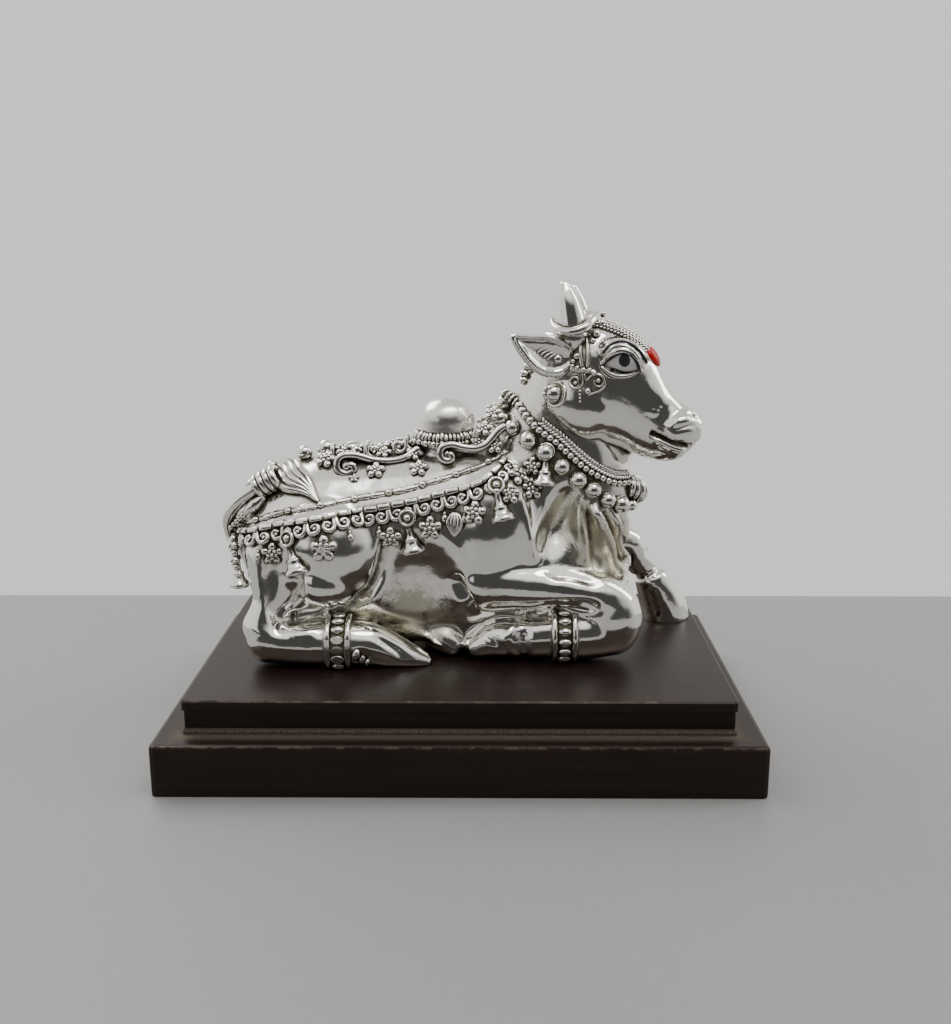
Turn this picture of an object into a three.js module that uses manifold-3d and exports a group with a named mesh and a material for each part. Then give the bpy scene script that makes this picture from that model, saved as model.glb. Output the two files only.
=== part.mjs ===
import * as THREE from 'three';
import { mergeVertices } from 'three/addons/utils/BufferGeometryUtils.js';
import Module from 'manifold-3d';

// Seated Nandi bull with a draped cloth and festival ornaments, on a stepped wooden base.
// Millimetres. The bull faces +X, its near flank faces -Y, the underside is at z = 0.

const wasm = await Module();
wasm.setup();

// Base
const baseLength = 152;
const baseDepth = 102;
const lowerTierHeight = 13.5;
const upperTierHeight = 9;
const upperTierInset = 6.8;
const lowerEdgeRadius = 1.1;
const upperLipHeight = 2.6;
const coveDepth = 0.6;
const footRise = 1.6;

// Bull: tail to planted hoof, soles to horn tips, and near flank to planted hoof
const bullLength = 132.3;
const bullHeight = 101;
const bullWidth = 52.9;

// The figure is drawn with its soles at this level, and scaled to the three sizes above
const soleLevel = 22.5;

// How far the facets may lie from the drawn surface, and the shortest edge kept
const bodyFineness = 0.3;
const trimFineness = 0.22;
const shortestEdge = 0.35;

const standTop = lowerTierHeight + upperTierHeight;
const up = new THREE.Vector3(0, 0, 1);

function vec(x, y, z) {
  return new THREE.Vector3(x, y, z);
}

// Closed loft through rings. A ring has a centre c, a half-breadth vector a, a half-height
// vector b and a power that squares its outline. Each end closes on its centre.
function loft(rings, steps, sides) {
  const lines = ['c', 'a', 'b'].map((key) => rings.map((ring) => ring[key]));
  const count = (rings.length - 1) * steps;
  const positions = [];
  const indices = [];
  for (let i = 0; i <= count; i += 1) {
    const [c, a, b] = lines.map((line) => smoothPoint(line, i / steps));
    const at = Math.min(Math.floor(i / steps), rings.length - 2);
    const mix = i / steps - at;
    const power = (rings[at].p ?? 2) * (1 - mix) + (rings[at + 1].p ?? 2) * mix;
    for (let k = 0; k < sides; k += 1) {
      const angle = (2 * Math.PI * (k + 0.5)) / sides;
      const ca = Math.cos(angle);
      const sa = Math.sin(angle);
      const along = Math.sign(ca) * Math.abs(ca) ** (2 / power);
      const rise = Math.sign(sa) * Math.abs(sa) ** (2 / power);
      const point = c.clone().addScaledVector(a, along).addScaledVector(b, rise);
      positions.push(point.x, point.y, point.z);
    }
  }
  for (let i = 0; i < count; i += 1) {
    for (let k = 0; k < sides; k += 1) {
      const next = (k + 1) % sides;
      const p = i * sides + k;
      const q = i * sides + next;
      indices.push(p, q, q + sides, p, q + sides, p + sides);
    }
  }
  for (const [row, turn] of [[0, 1], [count, 0]]) {
    const c = smoothPoint(lines[0], row / steps);
    const pole = positions.length / 3;
    positions.push(c.x, c.y, c.z);
    for (let k = 0; k < sides; k += 1) {
      const p = row * sides + k;
      const q = row * sides + ((k + 1) % sides);
      indices.push(...(turn ? [pole, q, p] : [pole, p, q]));
    }
  }
  return solid(positions, indices);
}

// Point at place t on a smooth line that passes through every given point
function smoothPoint(points, t) {
  const last = points.length - 1;
  const at = Math.min(Math.floor(t), last - 1);
  const s = t - at;
  const p1 = points[at];
  const p2 = points[at + 1];
  const before = points[Math.max(at - 1, 0)];
  const after = points[Math.min(at + 2, last)];
  const m1 = p2.clone().sub(before).multiplyScalar(0.5);
  const m2 = after.clone().sub(p1).multiplyScalar(0.5);
  const h1 = 2 * s ** 3 - 3 * s ** 2 + 1;
  const h2 = s ** 3 - 2 * s ** 2 + s;
  const h3 = -2 * s ** 3 + 3 * s ** 2;
  const h4 = s ** 3 - s ** 2;
  return p1.clone().multiplyScalar(h1).addScaledVector(m1, h2)
    .addScaledVector(p2, h3).addScaledVector(m2, h4);
}

// Rounds both ends of a row of rings by short dome rings
function domed(rings, dome = 0.75) {
  const cap = (ring, other) => {
    const out = ring.c.clone().sub(other.c).normalize();
    const reach = dome * Math.min(ring.a.length(), ring.b.length());
    return [40, 72].map((degrees) => {
      const t = THREE.MathUtils.degToRad(degrees);
      return {
        c: ring.c.clone().addScaledVector(out, reach * Math.sin(t)),
        a: ring.a.clone().multiplyScalar(Math.cos(t)),
        b: ring.b.clone().multiplyScalar(Math.cos(t)),
        p: ring.p,
      };
    });
  };
  const first = cap(rings[0], rings[1]).reverse();
  const last = cap(rings[rings.length - 1], rings[rings.length - 2]);
  return [...first, ...rings, ...last];
}

// Limb along stations [x, y, z, half-breadth, half-height], with rounded ends
function limb(stations, { sides = 12, lean = up, dome = 0.75 } = {}) {
  const points = stations.map((s) => vec(s[0], s[1], s[2]));
  const rings = stations.map((s, i) => {
    const ahead = points[Math.min(i + 1, points.length - 1)];
    const behind = points[Math.max(i - 1, 0)];
    const way = ahead.clone().sub(behind).normalize();
    const a = vec(0, 0, 0).crossVectors(way, lean).normalize();
    const b = vec(0, 0, 0).crossVectors(a, way);
    return { c: points[i], a: a.multiplyScalar(s[3]), b: b.multiplyScalar(s[4]) };
  });
  return loft(domed(rings, dome), 1, sides);
}

// Ball or egg with three half-sizes, turned by pitch about Y and then by yaw about Z
function egg(x, y, z, rx, ry, rz, { pitch = 0, yaw = 0, around = 16, down = 10 } = {}) {
  const shape = new THREE.SphereGeometry(1, around, down);
  shape.rotateX(Math.PI / 2);
  shape.scale(rx, ry, rz);
  shape.rotateY(THREE.MathUtils.degToRad(pitch));
  shape.rotateZ(THREE.MathUtils.degToRad(yaw));
  shape.translate(x, y, z);
  return fromGeometry(shape);
}

function fromGeometry(geometry) {
  const plain = geometry.clone();
  plain.deleteAttribute('normal');
  plain.deleteAttribute('uv');
  const merged = mergeVertices(plain, 1e-4);
  return solid(Array.from(merged.attributes.position.array), Array.from(merged.index.array));
}

function solid(positions, indices) {
  const made = new wasm.Manifold(new wasm.Mesh({
    numProp: 3,
    vertProperties: new Float32Array(positions),
    triVerts: new Uint32Array(indices),
  }));
  if (made.volume() > 0) {
    return made;
  }
  const flipped = [];
  for (let i = 0; i < indices.length; i += 3) {
    flipped.push(indices[i], indices[i + 2], indices[i + 1]);
  }
  return new wasm.Manifold(new wasm.Mesh({
    numProp: 3,
    vertProperties: new Float32Array(positions),
    triVerts: new Uint32Array(flipped),
  }));
}

function joined(pieces) {
  return pieces.reduce((whole, piece) => whole.add(piece));
}

// Drops corners whose loss moves the surface by less than the tolerance, and short edges
function settled(piece, tolerance, shortest) {
  const mesh = piece.getMesh();
  const points = [];
  for (let i = 0; i < mesh.vertProperties.length; i += 3) {
    points.push(vec(...mesh.vertProperties.slice(i, i + 3)));
  }
  let faces = [];
  for (let i = 0; i < mesh.triVerts.length; i += 3) {
    faces.push([...mesh.triVerts.slice(i, i + 3)]);
  }
  const square = (p, q, r) => q.clone().sub(p).cross(r.clone().sub(p));
  const quadrics = points.map(() => new Float64Array(10));
  for (const [i, j, k] of faces) {
    const n = square(points[i], points[j], points[k]).normalize();
    const d = -n.dot(points[i]);
    const e = [n.x, n.y, n.z, d];
    let at = 0;
    for (let row = 0; row < 4; row += 1) {
      for (let column = row; column < 4; column += 1) {
        for (const corner of [i, j, k]) {
          quadrics[corner][at] += e[row] * e[column];
        }
        at += 1;
      }
    }
  }
  const slimness = ([p, q, r]) => {
    const longest = Math.max(p.distanceTo(q), q.distanceTo(r), r.distanceTo(p));
    return square(p, q, r).length() / (longest ** 2 + 1e-12);
  };
  const strain = (q, v) => q[0] * v.x * v.x + 2 * q[1] * v.x * v.y + 2 * q[2] * v.x * v.z
    + 2 * q[3] * v.x + q[4] * v.y * v.y + 2 * q[5] * v.y * v.z + 2 * q[6] * v.y
    + q[7] * v.z * v.z + 2 * q[8] * v.z + q[9];
  for (let round = 0; round < 40; round += 1) {
    const around = points.map(() => []);
    faces.forEach((face, f) => face.forEach((corner) => around[corner].push(f)));
    const wishes = [];
    for (const face of faces) {
      for (let k = 0; k < 3; k += 1) {
        const from = face[k];
        const to = face[(k + 1) % 3];
        for (const [lost, kept] of [[from, to], [to, from]]) {
          const short = points[lost].distanceTo(points[kept]) < shortest;
          const cost = Math.max(strain(quadrics[lost], points[kept]), 0);
          if (short || cost < tolerance ** 2) {
            wishes.push([short ? 0 : cost, lost, kept]);
          }
        }
      }
    }
    wishes.sort((p, q) => p[0] - q[0]);
    const touched = new Set();
    const gone = new Set();
    for (const [, lost, kept] of wishes) {
      const ring = around[lost];
      const near = new Set(ring.flatMap((f) => faces[f]));
      const other = new Set(around[kept].flatMap((f) => faces[f]));
      if ([...near, ...other].some((corner) => touched.has(corner))) {
        continue;
      }
      const shared = [...near].filter((c) => other.has(c) && c !== lost && c !== kept);
      if (shared.length !== 2 || near.size !== ring.length + 1) {
        continue;
      }
      const close = points[lost].distanceTo(points[kept]) < shortest;
      const sound = ring.every((f) => {
        if (faces[f].includes(kept)) {
          return true;
        }
        const before = faces[f].map((c) => points[c]);
        const after = faces[f].map((c) => points[c === lost ? kept : c]);
        const [was, now] = [square(...before), square(...after)];
        const turn = now.dot(was) / (now.length() * was.length() + 1e-12);
        return turn > (close ? 0.3 : 0.7) && slimness(after) > Math.min(0.05, slimness(before));
      });
      if (!sound) {
        continue;
      }
      for (const f of ring) {
        if (faces[f].includes(kept)) {
          gone.add(f);
        } else {
          faces[f] = faces[f].map((c) => (c === lost ? kept : c));
        }
      }
      quadrics[lost].forEach((value, i) => {
        quadrics[kept][i] += value;
      });
      [...near, ...other].forEach((corner) => touched.add(corner));
    }
    if (!gone.size) {
      break;
    }
    faces = faces.filter((_, f) => !gone.has(f));
  }
  const used = [...new Set(faces.flat())];
  const order = new Map(used.map((corner, i) => [corner, i]));
  return {
    positions: used.flatMap((corner) => points[corner].toArray()),
    indices: faces.flat().map((corner) => order.get(corner)),
  };
}

// Trunk: stations along the back, [x, top, bottom, half-breadth, power]
const trunkStations = [
  [-60.5, 60, 46, 9, 2],
  [-56.5, 67, 38, 14.5, 2],
  [-50, 72.5, 31, 17.5, 2],
  [-40, 75.6, 27, 18.5, 2.1],
  [-26, 76.4, 25, 18, 2.1],
  [-12, 77.6, 25, 17.8, 2.1],
  [2, 79.6, 25, 18, 2.1],
  [15, 80, 25, 17.5, 2.1],
  [27, 76, 26, 15.5, 2],
  [36, 70, 29, 12.5, 2],
  [41, 64, 36, 8, 2],
];
const trunk = loft(domed(trunkStations.map(([x, top, bottom, breadth, p]) => ({
  c: vec(x, 0, (top + bottom) / 2),
  a: vec(0, breadth, 0),
  b: vec(0, 0, (top - bottom) / 2),
  p,
})), 0.45), 1, 22);
const belly = egg(-6, 0, 32, 38, 12.5, 14, { around: 18, down: 8 });

// Neck: level slices, [z, back, front, half-breadth]
const neckStations = [
  [40, 14, 42, 11],
  [50, 9, 44.5, 14],
  [60, 6.5, 46.5, 15.2],
  [69, 7.2, 47.5, 14],
  [77, 8.4, 47, 12],
  [84, 10.4, 42, 10.8],
  [92, 14.2, 38, 10],
  [100, 18.5, 36, 9],
  [106, 22, 34, 7],
];
const neck = loft(domed(neckStations.map(([z, back, front, breadth]) => ({
  c: vec((back + front) / 2, 0, z),
  a: vec((front - back) / 2, 0, 0),
  b: vec(0, breadth, 0),
})), 0.3), 1, 18);

const dewlap = limb([
  [36, -1, 66, 10, 10.5],
  [36, -1.5, 57, 9, 10.5],
  [35.5, -2, 49, 7.5, 9.6],
  [38, -2.5, 43, 6.5, 8.6],
  [41, -3, 39.5, 5.5, 6.2],
], { sides: 14, lean: vec(1, 0, 0) });

const hump = egg(-4.5, 0, 82.5, 8, 8, 9.6, { around: 14, down: 10 });

// Head: slices in its own upright plane, which is turned a little towards the near side.
// [top along, top height, bottom along, bottom height, half-breadth]
const headTurn = THREE.MathUtils.degToRad(15);
const headTilt = 0.07;
const headRoot = 25;
const headStations = [
  [-1.5, 107, -4, 96, 6],
  [1.5, 110.5, -2, 90.5, 9],
  [6, 112.8, 2, 85, 10.6],
  [11, 113, 7, 81, 11.4],
  [16, 111.6, 13, 79.3, 11.2],
  [20.9, 109, 18.5, 78.8, 10.2],
  [25.1, 105.7, 23, 77.1, 8.8],
  [28.4, 100.7, 27.2, 76, 7.6],
  [31, 95.9, 30.8, 75.8, 7.2],
  [34.2, 92.2, 34, 76.6, 7.2],
  [37.4, 90.4, 36.6, 78.8, 6.6],
  [39.4, 88.4, 38.8, 81.5, 5],
];
function headPoint(along, aside, height) {
  return vec(
    headRoot + along * Math.cos(headTurn) + aside * Math.sin(headTurn),
    -along * Math.sin(headTurn) + aside * Math.cos(headTurn),
    height - aside * headTilt,
  );
}
function headWay(along, aside, height) {
  return headPoint(along, aside, height).sub(vec(headRoot, 0, 0));
}
const skull = loft(domed(headStations.map(([tu, tw, bu, bw, breadth]) => ({
  c: headPoint((tu + bu) / 2, 0, (tw + bw) / 2),
  a: headWay(0, breadth, 0),
  b: headWay((tu - bu) / 2, 0, (tw - bw) / 2),
  p: 2.15,
})), 0.35), 1, 20);

// A form of the head, at a place in the head's own plane, for one side or the other
function headEgg(along, aside, height, rAlong, rAside, rHeight, pitch = 0, around = 12, down = 8) {
  const c = headPoint(along, aside, height);
  const yaw = -THREE.MathUtils.radToDeg(headTurn);
  return egg(c.x, c.y, c.z, rAlong, rAside, rHeight, { pitch, yaw, around, down });
}
const headForms = [];
for (const side of [-1, 1]) {
  headForms.push(headEgg(8, side * 3.6, 91, 11, 9, 11, 20, 14, 8));
  headForms.push(headEgg(19, side * 7, 103.8, 6.8, 4.6, 4.4, 14, 12, 8));
  headForms.push(headEgg(33.6, side * 2.6, 85, 5.8, 5.6, 5.4, 20, 12, 8));
  const foot = headPoint(4.6, side * 6.8, 108);
  const middle = headPoint(4.2, side * 7, 114.5);
  const upper = headPoint(3.4, side * 7, 119);
  const tip = headPoint(3.1, side * 6.7, 121.9);
  headForms.push(limb([
    [foot.x, foot.y, foot.z, 3.7, 3.7],
    [middle.x, middle.y, middle.z, 3.3, 3.3],
    [upper.x, upper.y, upper.z, 2.5, 2.5],
    [tip.x, tip.y, tip.z, 1.5, 1.5],
  ], { sides: 10, lean: vec(1, 0, 0) }));
  const root = headPoint(4, side * 8, 104);
  const leaf = headPoint(-1, side * 13.8, 105.2);
  const point = headPoint(-7, side * 19.5, 108);
  const blade = loft(domed([
    { c: root, a: headWay(2.2, side * 1.2, 0), b: headWay(0, 0, 4.4) },
    { c: leaf, a: headWay(1.2, side * 1.6, 0), b: headWay(0.6, 0, 4.8) },
    { c: point, a: headWay(0.5, side * 0.6, 0), b: headWay(0.2, 0, 1.1) },
  ], 0.6), 2, 10);
  headForms.push(blade);
}

const plainParts = [trunk, belly, neck, dewlap, hump, skull, ...headForms];

// Hind legs: thigh, buttock and hock, folded foot
for (const side of [-1, 1]) {
  plainParts.push(
    egg(-34.8, side * 9, 52, 16.6, 14.4, 16.4, { pitch: 8, around: 18, down: 12 }),
    limb([
      [-34, side * 12, 48, 10, 10],
      [-42, side * 14.5, 42.5, 7.5, 6.6],
      [-49, side * 16, 35, 4.5, 3.4],
    ], { lean: vec(1, 0, 0) }),
    limb([
      [-48, side * 6, 62, 8, 9],
      [-50, side * 11, 53, 8.6, 8.8],
      [-50.5, side * 14.4, 45, 7, 6.4],
      [-50.2, side * 16.2, 39.5, 5.8, 5.4],
      [-52, side * 17, 32, 7, 7],
    ], { lean: vec(1, 0, 0) }),
  );
}
plainParts.push(
  limb([
    [-52.4, -17.2, 29.6, 7.2, 6.9],
    [-42, -17.8, 28.6, 6.7, 6.4],
    [-32, -18, 28.4, 6.2, 6.2],
    [-25, -18, 28, 6, 6],
    [-18, -17.5, 25.8, 5.4, 4.9],
    [-12, -17, 23.8, 4.2, 2.8],
  ]),
  limb([
    [-52, 17, 29.5, 7, 6.8],
    [-42, 17.2, 28.6, 6.6, 6.4],
    [-32, 15.5, 28.2, 6.2, 6.2],
    [-22, 8, 28, 6, 6],
    [-12, -3, 28.5, 5.4, 5.6],
    [-5, -10, 27.2, 4.6, 4.6],
    [-2, -12.5, 25.2, 3, 3],
  ]),
);

// Shoulders, and the near foreleg folded under
for (const side of [-1, 1]) {
  plainParts.push(egg(8, side * 4.6, 56, 16, 15, 22, { pitch: 8, around: 18, down: 12 }));
}
plainParts.push(
  limb([
    [4, -12.5, 43.5, 6.6, 8],
    [16, -13.8, 43.3, 6.4, 6.6],
    [28, -14, 41.8, 6.2, 6.6],
    [38, -13.5, 39, 6.2, 6.8],
    [41.8, -13.2, 36, 6.2, 6.8],
  ]),
  limb([
    [41.5, -13.2, 31, 6.4, 7.4],
    [34, -13.4, 29.4, 6.4, 7],
    [24, -13.6, 29.2, 6.2, 6.6],
    [17, -13.6, 28.2, 5.6, 5.5],
    [10, -13.6, 28.2, 5.6, 5.2],
    [3.5, -13.6, 25.8, 4.2, 3.2],
  ]),
);

// Far foreleg, its hoof planted in front
plainParts.push(
  limb([
    [18, 13, 50, 8, 8],
    [32, 15.5, 48.5, 6.5, 6.5],
    [44, 17.5, 47.5, 5.6, 5.6],
    [49, 18, 46, 5, 5],
  ]),
  limb([
    [48.5, 18, 45.5, 5, 5],
    [52, 19, 40.5, 4.4, 4.4],
    [54.5, 20, 36.5, 4, 4],
  ], { lean: vec(1, 0, 0) }),
  loft([
    { c: vec(54.6, 20, 37.2), a: vec(4, 0, -1.2), b: vec(0, 4, 0) },
    { c: vec(56.8, 20.6, 33), a: vec(5.3, 0, -2), b: vec(0, 5.2, 0) },
    { c: vec(60, 21.6, 26.5), a: vec(6.9, 0, -1.4), b: vec(0, 6, 0) },
    { c: vec(61, 22, 22), a: vec(7.4, 0, 0), b: vec(0, 6.4, 0) },
  ], 1, 12),
);

const mouthCut = headEgg(33.5, 0, 82.2, 8, 10, 0.8, 20, 14, 6);
const clear = 2 * bullLength;
const floorCut = fromGeometry(new THREE.BoxGeometry(clear, clear, clear)
  .translate(0, 0, soleLevel - clear / 2));
const plainShape = settled(joined(plainParts).subtract(mouthCut), bodyFineness, shortestEdge);
const plainBody = solid(plainShape.positions, plainShape.indices);

// The first point of the plain body met from a start point along a way, with its outward face
const skinMesh = plainBody.getMesh();
const skinFaces = [];
for (let i = 0; i < skinMesh.triVerts.length; i += 3) {
  skinFaces.push([0, 1, 2].map((k) => {
    const corner = 3 * skinMesh.triVerts[i + k];
    return vec(...skinMesh.vertProperties.slice(corner, corner + 3));
  }));
}
function seat(start, way) {
  const ray = new THREE.Ray(start, way.clone().normalize());
  const at = vec(0, 0, 0);
  let best = null;
  for (const [p, q, r] of skinFaces) {
    if (ray.intersectTriangle(p, q, r, true, at) && (!best || at.distanceTo(start) < best.reach)) {
      const face = q.clone().sub(p).cross(r.clone().sub(p)).normalize();
      best = { at: at.clone(), face, reach: at.distanceTo(start) };
    }
  }
  if (!best) {
    throw new Error(`nothing met from ${start.toArray()} along ${way.toArray()}`);
  }
  return best;
}
const onFlank = (x, z, side) => seat(vec(x, side * clear, z), vec(0, -side, 0));
const onBack = (x, y) => seat(vec(x, y, clear), vec(0, 0, -1));
const onRump = (y, z) => seat(vec(-clear, y, z), vec(1, 0, 0));

// Raised line through seats: half-breadth over the surface and height above it, in even waves
function raisedLine(seats, breadth, rise, { waves = 1, sides = 6, sink = 0 } = {}) {
  const rings = seats.map((here, i) => {
    const ahead = seats[Math.min(i + 1, seats.length - 1)].at;
    const behind = seats[Math.max(i - 1, 0)].at;
    const way = ahead.clone().sub(behind).normalize();
    const across = vec(0, 0, 0).crossVectors(way, here.face).normalize();
    const out = vec(0, 0, 0).crossVectors(across, way).normalize();
    const share = i % 2 ? waves : 1;
    return {
      c: here.at.clone().addScaledVector(out, -sink),
      a: across.multiplyScalar(breadth * share),
      b: out.multiplyScalar(rise * share),
    };
  });
  return loft(domed(rings, 0.5), 1, sides);
}

// Low round boss standing on a seat
function boss(here, radius, rise) {
  const shape = new THREE.SphereGeometry(1, 6, 4);
  shape.rotateX(Math.PI / 2);
  shape.scale(radius, radius, rise);
  shape.applyQuaternion(new THREE.Quaternion().setFromUnitVectors(up, here.face));
  shape.translate(...here.at.toArray());
  return fromGeometry(shape);
}

// Evenly spaced values of a table of points, read along its first column
function readAt(table, x) {
  const at = Math.max(1, table.findIndex((row) => row[0] >= x));
  const [p, q] = [table[at - 1], table[at]];
  const mix = (x - p[0]) / (q[0] - p[0]);
  return p.map((value, i) => value + (q[i] - value) * mix);
}
function spread(from, to, count) {
  return Array.from({ length: count }, (_, i) => from + ((to - from) * i) / (count - 1));
}

const trim = [];

// Cloth border, from the middle of the rump to the collar
const borderLine = [[-58, 56], [-53, 57.4], [-43, 59.8], [-31.5, 62], [-23, 62.4], [-11, 64.6],
  [-6, 66], [2, 68], [7, 70.2], [10, 72.5]];
const borderHalfHeight = 2.1;
const borderRise = 1.3;
const borderScrolls = 15;
for (const side of [-1, 1]) {
  const seats = spread(-57.5, 9.8, borderScrolls * 2 + 1)
    .map((x) => onFlank(x, readAt(borderLine, x)[1], side));
  const round = spread(0, 12, 5).map((y) => onRump(side * y, 55.2));
  trim.push(raisedLine([...round, ...seats], borderHalfHeight, borderRise,
    { waves: 0.8, sides: 4, sink: 0.2 }));
}

// Bead-knotted cord above the border
const cordLine = [[-57, 60], [-48, 63.3], [-37, 65.6], [-26, 67.2], [-15, 69], [-5, 71.7],
  [5.3, 75], [11, 77.6]];
const cordRadius = 0.75;
for (const side of [-1, 1]) {
  const seats = spread(-56, 11, 9).map((x) => onFlank(x, readAt(cordLine, x)[1], side));
  trim.push(raisedLine(seats, cordRadius, cordRadius, { sides: 4 }));
}

// Bells under round bosses, and flower pendants between them
const bellPlaces = [[-44.3, 57.6, 48.8], [-14, 62, 52.3], [9.4, 70.4, 62.4]];
const bellMouth = 2.9;
const discRadius = 2.1;
const pendantPlaces = [[-49.3, 53.2], [-35.5, 55.4], [-18, 56.8], [-7.8, 59.6], [4.3, 64],
  [15.3, 68.8]];
const pendantRadius = 2.3;
for (const side of [-1, 1]) {
  for (const [x, high, low] of bellPlaces) {
    trim.push(boss(onFlank(x, high, side), discRadius, 1.9));
    const seats = spread(high - 2.2, low, 4).map((z) => onFlank(x + (high - z) * 0.14, z, side));
    const girth = [1.1, 1.3, 1.9, bellMouth];
    const stations = seats.map(({ at }, i) => [at.x, at.y + side * 0.5, at.z, girth[i], girth[i]]);
    trim.push(limb(stations, { sides: 6, lean: vec(1, 0, 0), dome: 0.2 }));
  }
  for (const [x, z] of pendantPlaces) {
    trim.push(boss(onFlank(x, z, side), pendantRadius, 1.3));
  }
  const tassel = [[-60.6, 54, 1.7], [-61, 48, 1.9], [-61.2, 44.6, 1.6], [-61.3, 41.8, 2.5]];
  trim.push(limb(tassel.map(([x, z, radius]) => [x, side * 11, z, radius, radius]),
    { sides: 6, lean: vec(1, 0, 0), dome: 0.3 }));
}

// Neck: a string of large beads, and a bead rope above it
const bead = (x, y, z, radius) => egg(x, y, z, radius, radius, radius, { around: 7, down: 4 });
const neckBeadRadius = 2.45;
const beadPlaces = [[14.1, 85.4], [18, 82], [22.5, 78.7], [26.8, 75.2], [30.8, 71.8],
  [35, 68.9], [38.7, 66.3], [42.6, 64.8]];
const ropePlaces = [[15.6, 89.5], [21, 84.5], [25, 81.5], [30, 77], [34.8, 73.3], [40.3, 70.6],
  [44.5, 70]];
const ropeRadius = 1.35;
for (const side of [-1, 1]) {
  for (const [x, z] of beadPlaces) {
    const { at, face } = onFlank(x, z, side);
    const c = at.addScaledVector(face, neckBeadRadius * 0.35);
    trim.push(bead(c.x, c.y, c.z, neckBeadRadius));
  }
  const rope = ropePlaces.map(([x, z]) => onFlank(x, z, side));
  trim.push(raisedLine(rope, ropeRadius, ropeRadius));
}
trim.push(egg(47.6, 0, 68.6, 2.6, 3.4, 3.2, { around: 10, down: 6 }));
trim.push(bead(46.6, 0, 63.4, neckBeadRadius));
for (const [x, y, z] of [[8.4, -6.6, 80.8], [10.4, -3.6, 86.6], [10.4, 3.6, 86.6],
  [11.6, 0, 90.4]]) {
  trim.push(bead(x, y, z, neckBeadRadius));
}
trim.push(egg(8, 0, 82, 3.6, 5.8, 6, { around: 8, down: 5 }));
for (const side of [-1, 1]) {
  trim.push(limb([[4.6, side * 6.4, 80, 2, 2], [6.4, side * 5.4, 84, 2.4, 2.4],
    [9, side * 3.6, 88.4, 2, 2]], { sides: 6 }));
}

// Ribbons that curl over the back, with balls and flowers along the ridge
const ribbonHalfBreadth = 1.5;
const ribbonRise = 1.6;
const curlRadius = 2.5;
for (const side of [-1, 1]) {
  for (const line of [
    [[-29.5, 4], [-25.5, 3], [-21, 4.4], [-17, 3.6], [-13.5, 2]],
    [[-1, 10.6], [3, 9.6], [6.5, 8], [9.5, 7.4]],
  ]) {
    const seats = line.map(([x, y]) => onBack(x, side * y));
    trim.push(raisedLine(seats, ribbonHalfBreadth, ribbonRise));
  }
  trim.push(boss(onBack(-31, side * 6.6), curlRadius, 2));
  trim.push(boss(onBack(-3.6, side * 9.4), curlRadius, 2));
  trim.push(boss(onFlank(-22.7, 73.4, side), pendantRadius, 1.3));
  trim.push(boss(onFlank(-11.2, 74.6, side), pendantRadius, 1.3));
}
for (const [x, radius] of [[-43, 2.3], [-36.6, 2.3], [-29, 2.1], [-22, 2.1], [-15.5, 2.1]]) {
  const { at } = onBack(x, 0);
  trim.push(bead(at.x, 0, at.z + radius * 0.7, radius));
}

// Tail, brought up over the rump with a tied tuft lying on the near side
trim.push(limb([
  [-62.6, -6, 57, 2.4, 2],
  [-61.4, -8.4, 61.6, 2.8, 2.1],
  [-57.4, -8.6, 66, 2.8, 2],
  [-53.6, -8.6, 69.4, 2.4, 1.9],
  [-50, -8.8, 71.6, 2.6, 2],
], { sides: 8, lean: vec(1, 0, 0) }));
const tuftSeats = [[-49.5, 71.4], [-46, 70.4], [-42.5, 68.6], [-39.6, 66.6], [-37.4, 64.6]]
  .map(([x, z]) => onFlank(x, z, -1));
const tuftBreadth = [2.1, 3.2, 3, 1.9, 0.8];
const tuftRise = 1.7;
trim.push(loft(domed(tuftSeats.map((here, i) => {
  const ahead = tuftSeats[Math.min(i + 1, 4)].at;
  const behind = tuftSeats[Math.max(i - 1, 0)].at;
  const way = ahead.clone().sub(behind).normalize();
  const across = vec(0, 0, 0).crossVectors(way, here.face).normalize();
  return {
    c: here.at,
    a: across.multiplyScalar(tuftBreadth[i]),
    b: here.face.clone().multiplyScalar(tuftRise),
  };
}), 0.5), 1, 8));

// Anklets
const ankletRise = 0.8;
const ankletHalfLength = 2.4;
for (const [x, y, z, radius] of [[-32.5, -18, 28.4, 6.2], [27.6, -13.6, 29.2, 6.4]]) {
  const r = radius + ankletRise;
  trim.push(limb([[x - ankletHalfLength, y, z, r, r], [x + ankletHalfLength, y, z, r, r]],
    { dome: 0.1 }));
}

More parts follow.
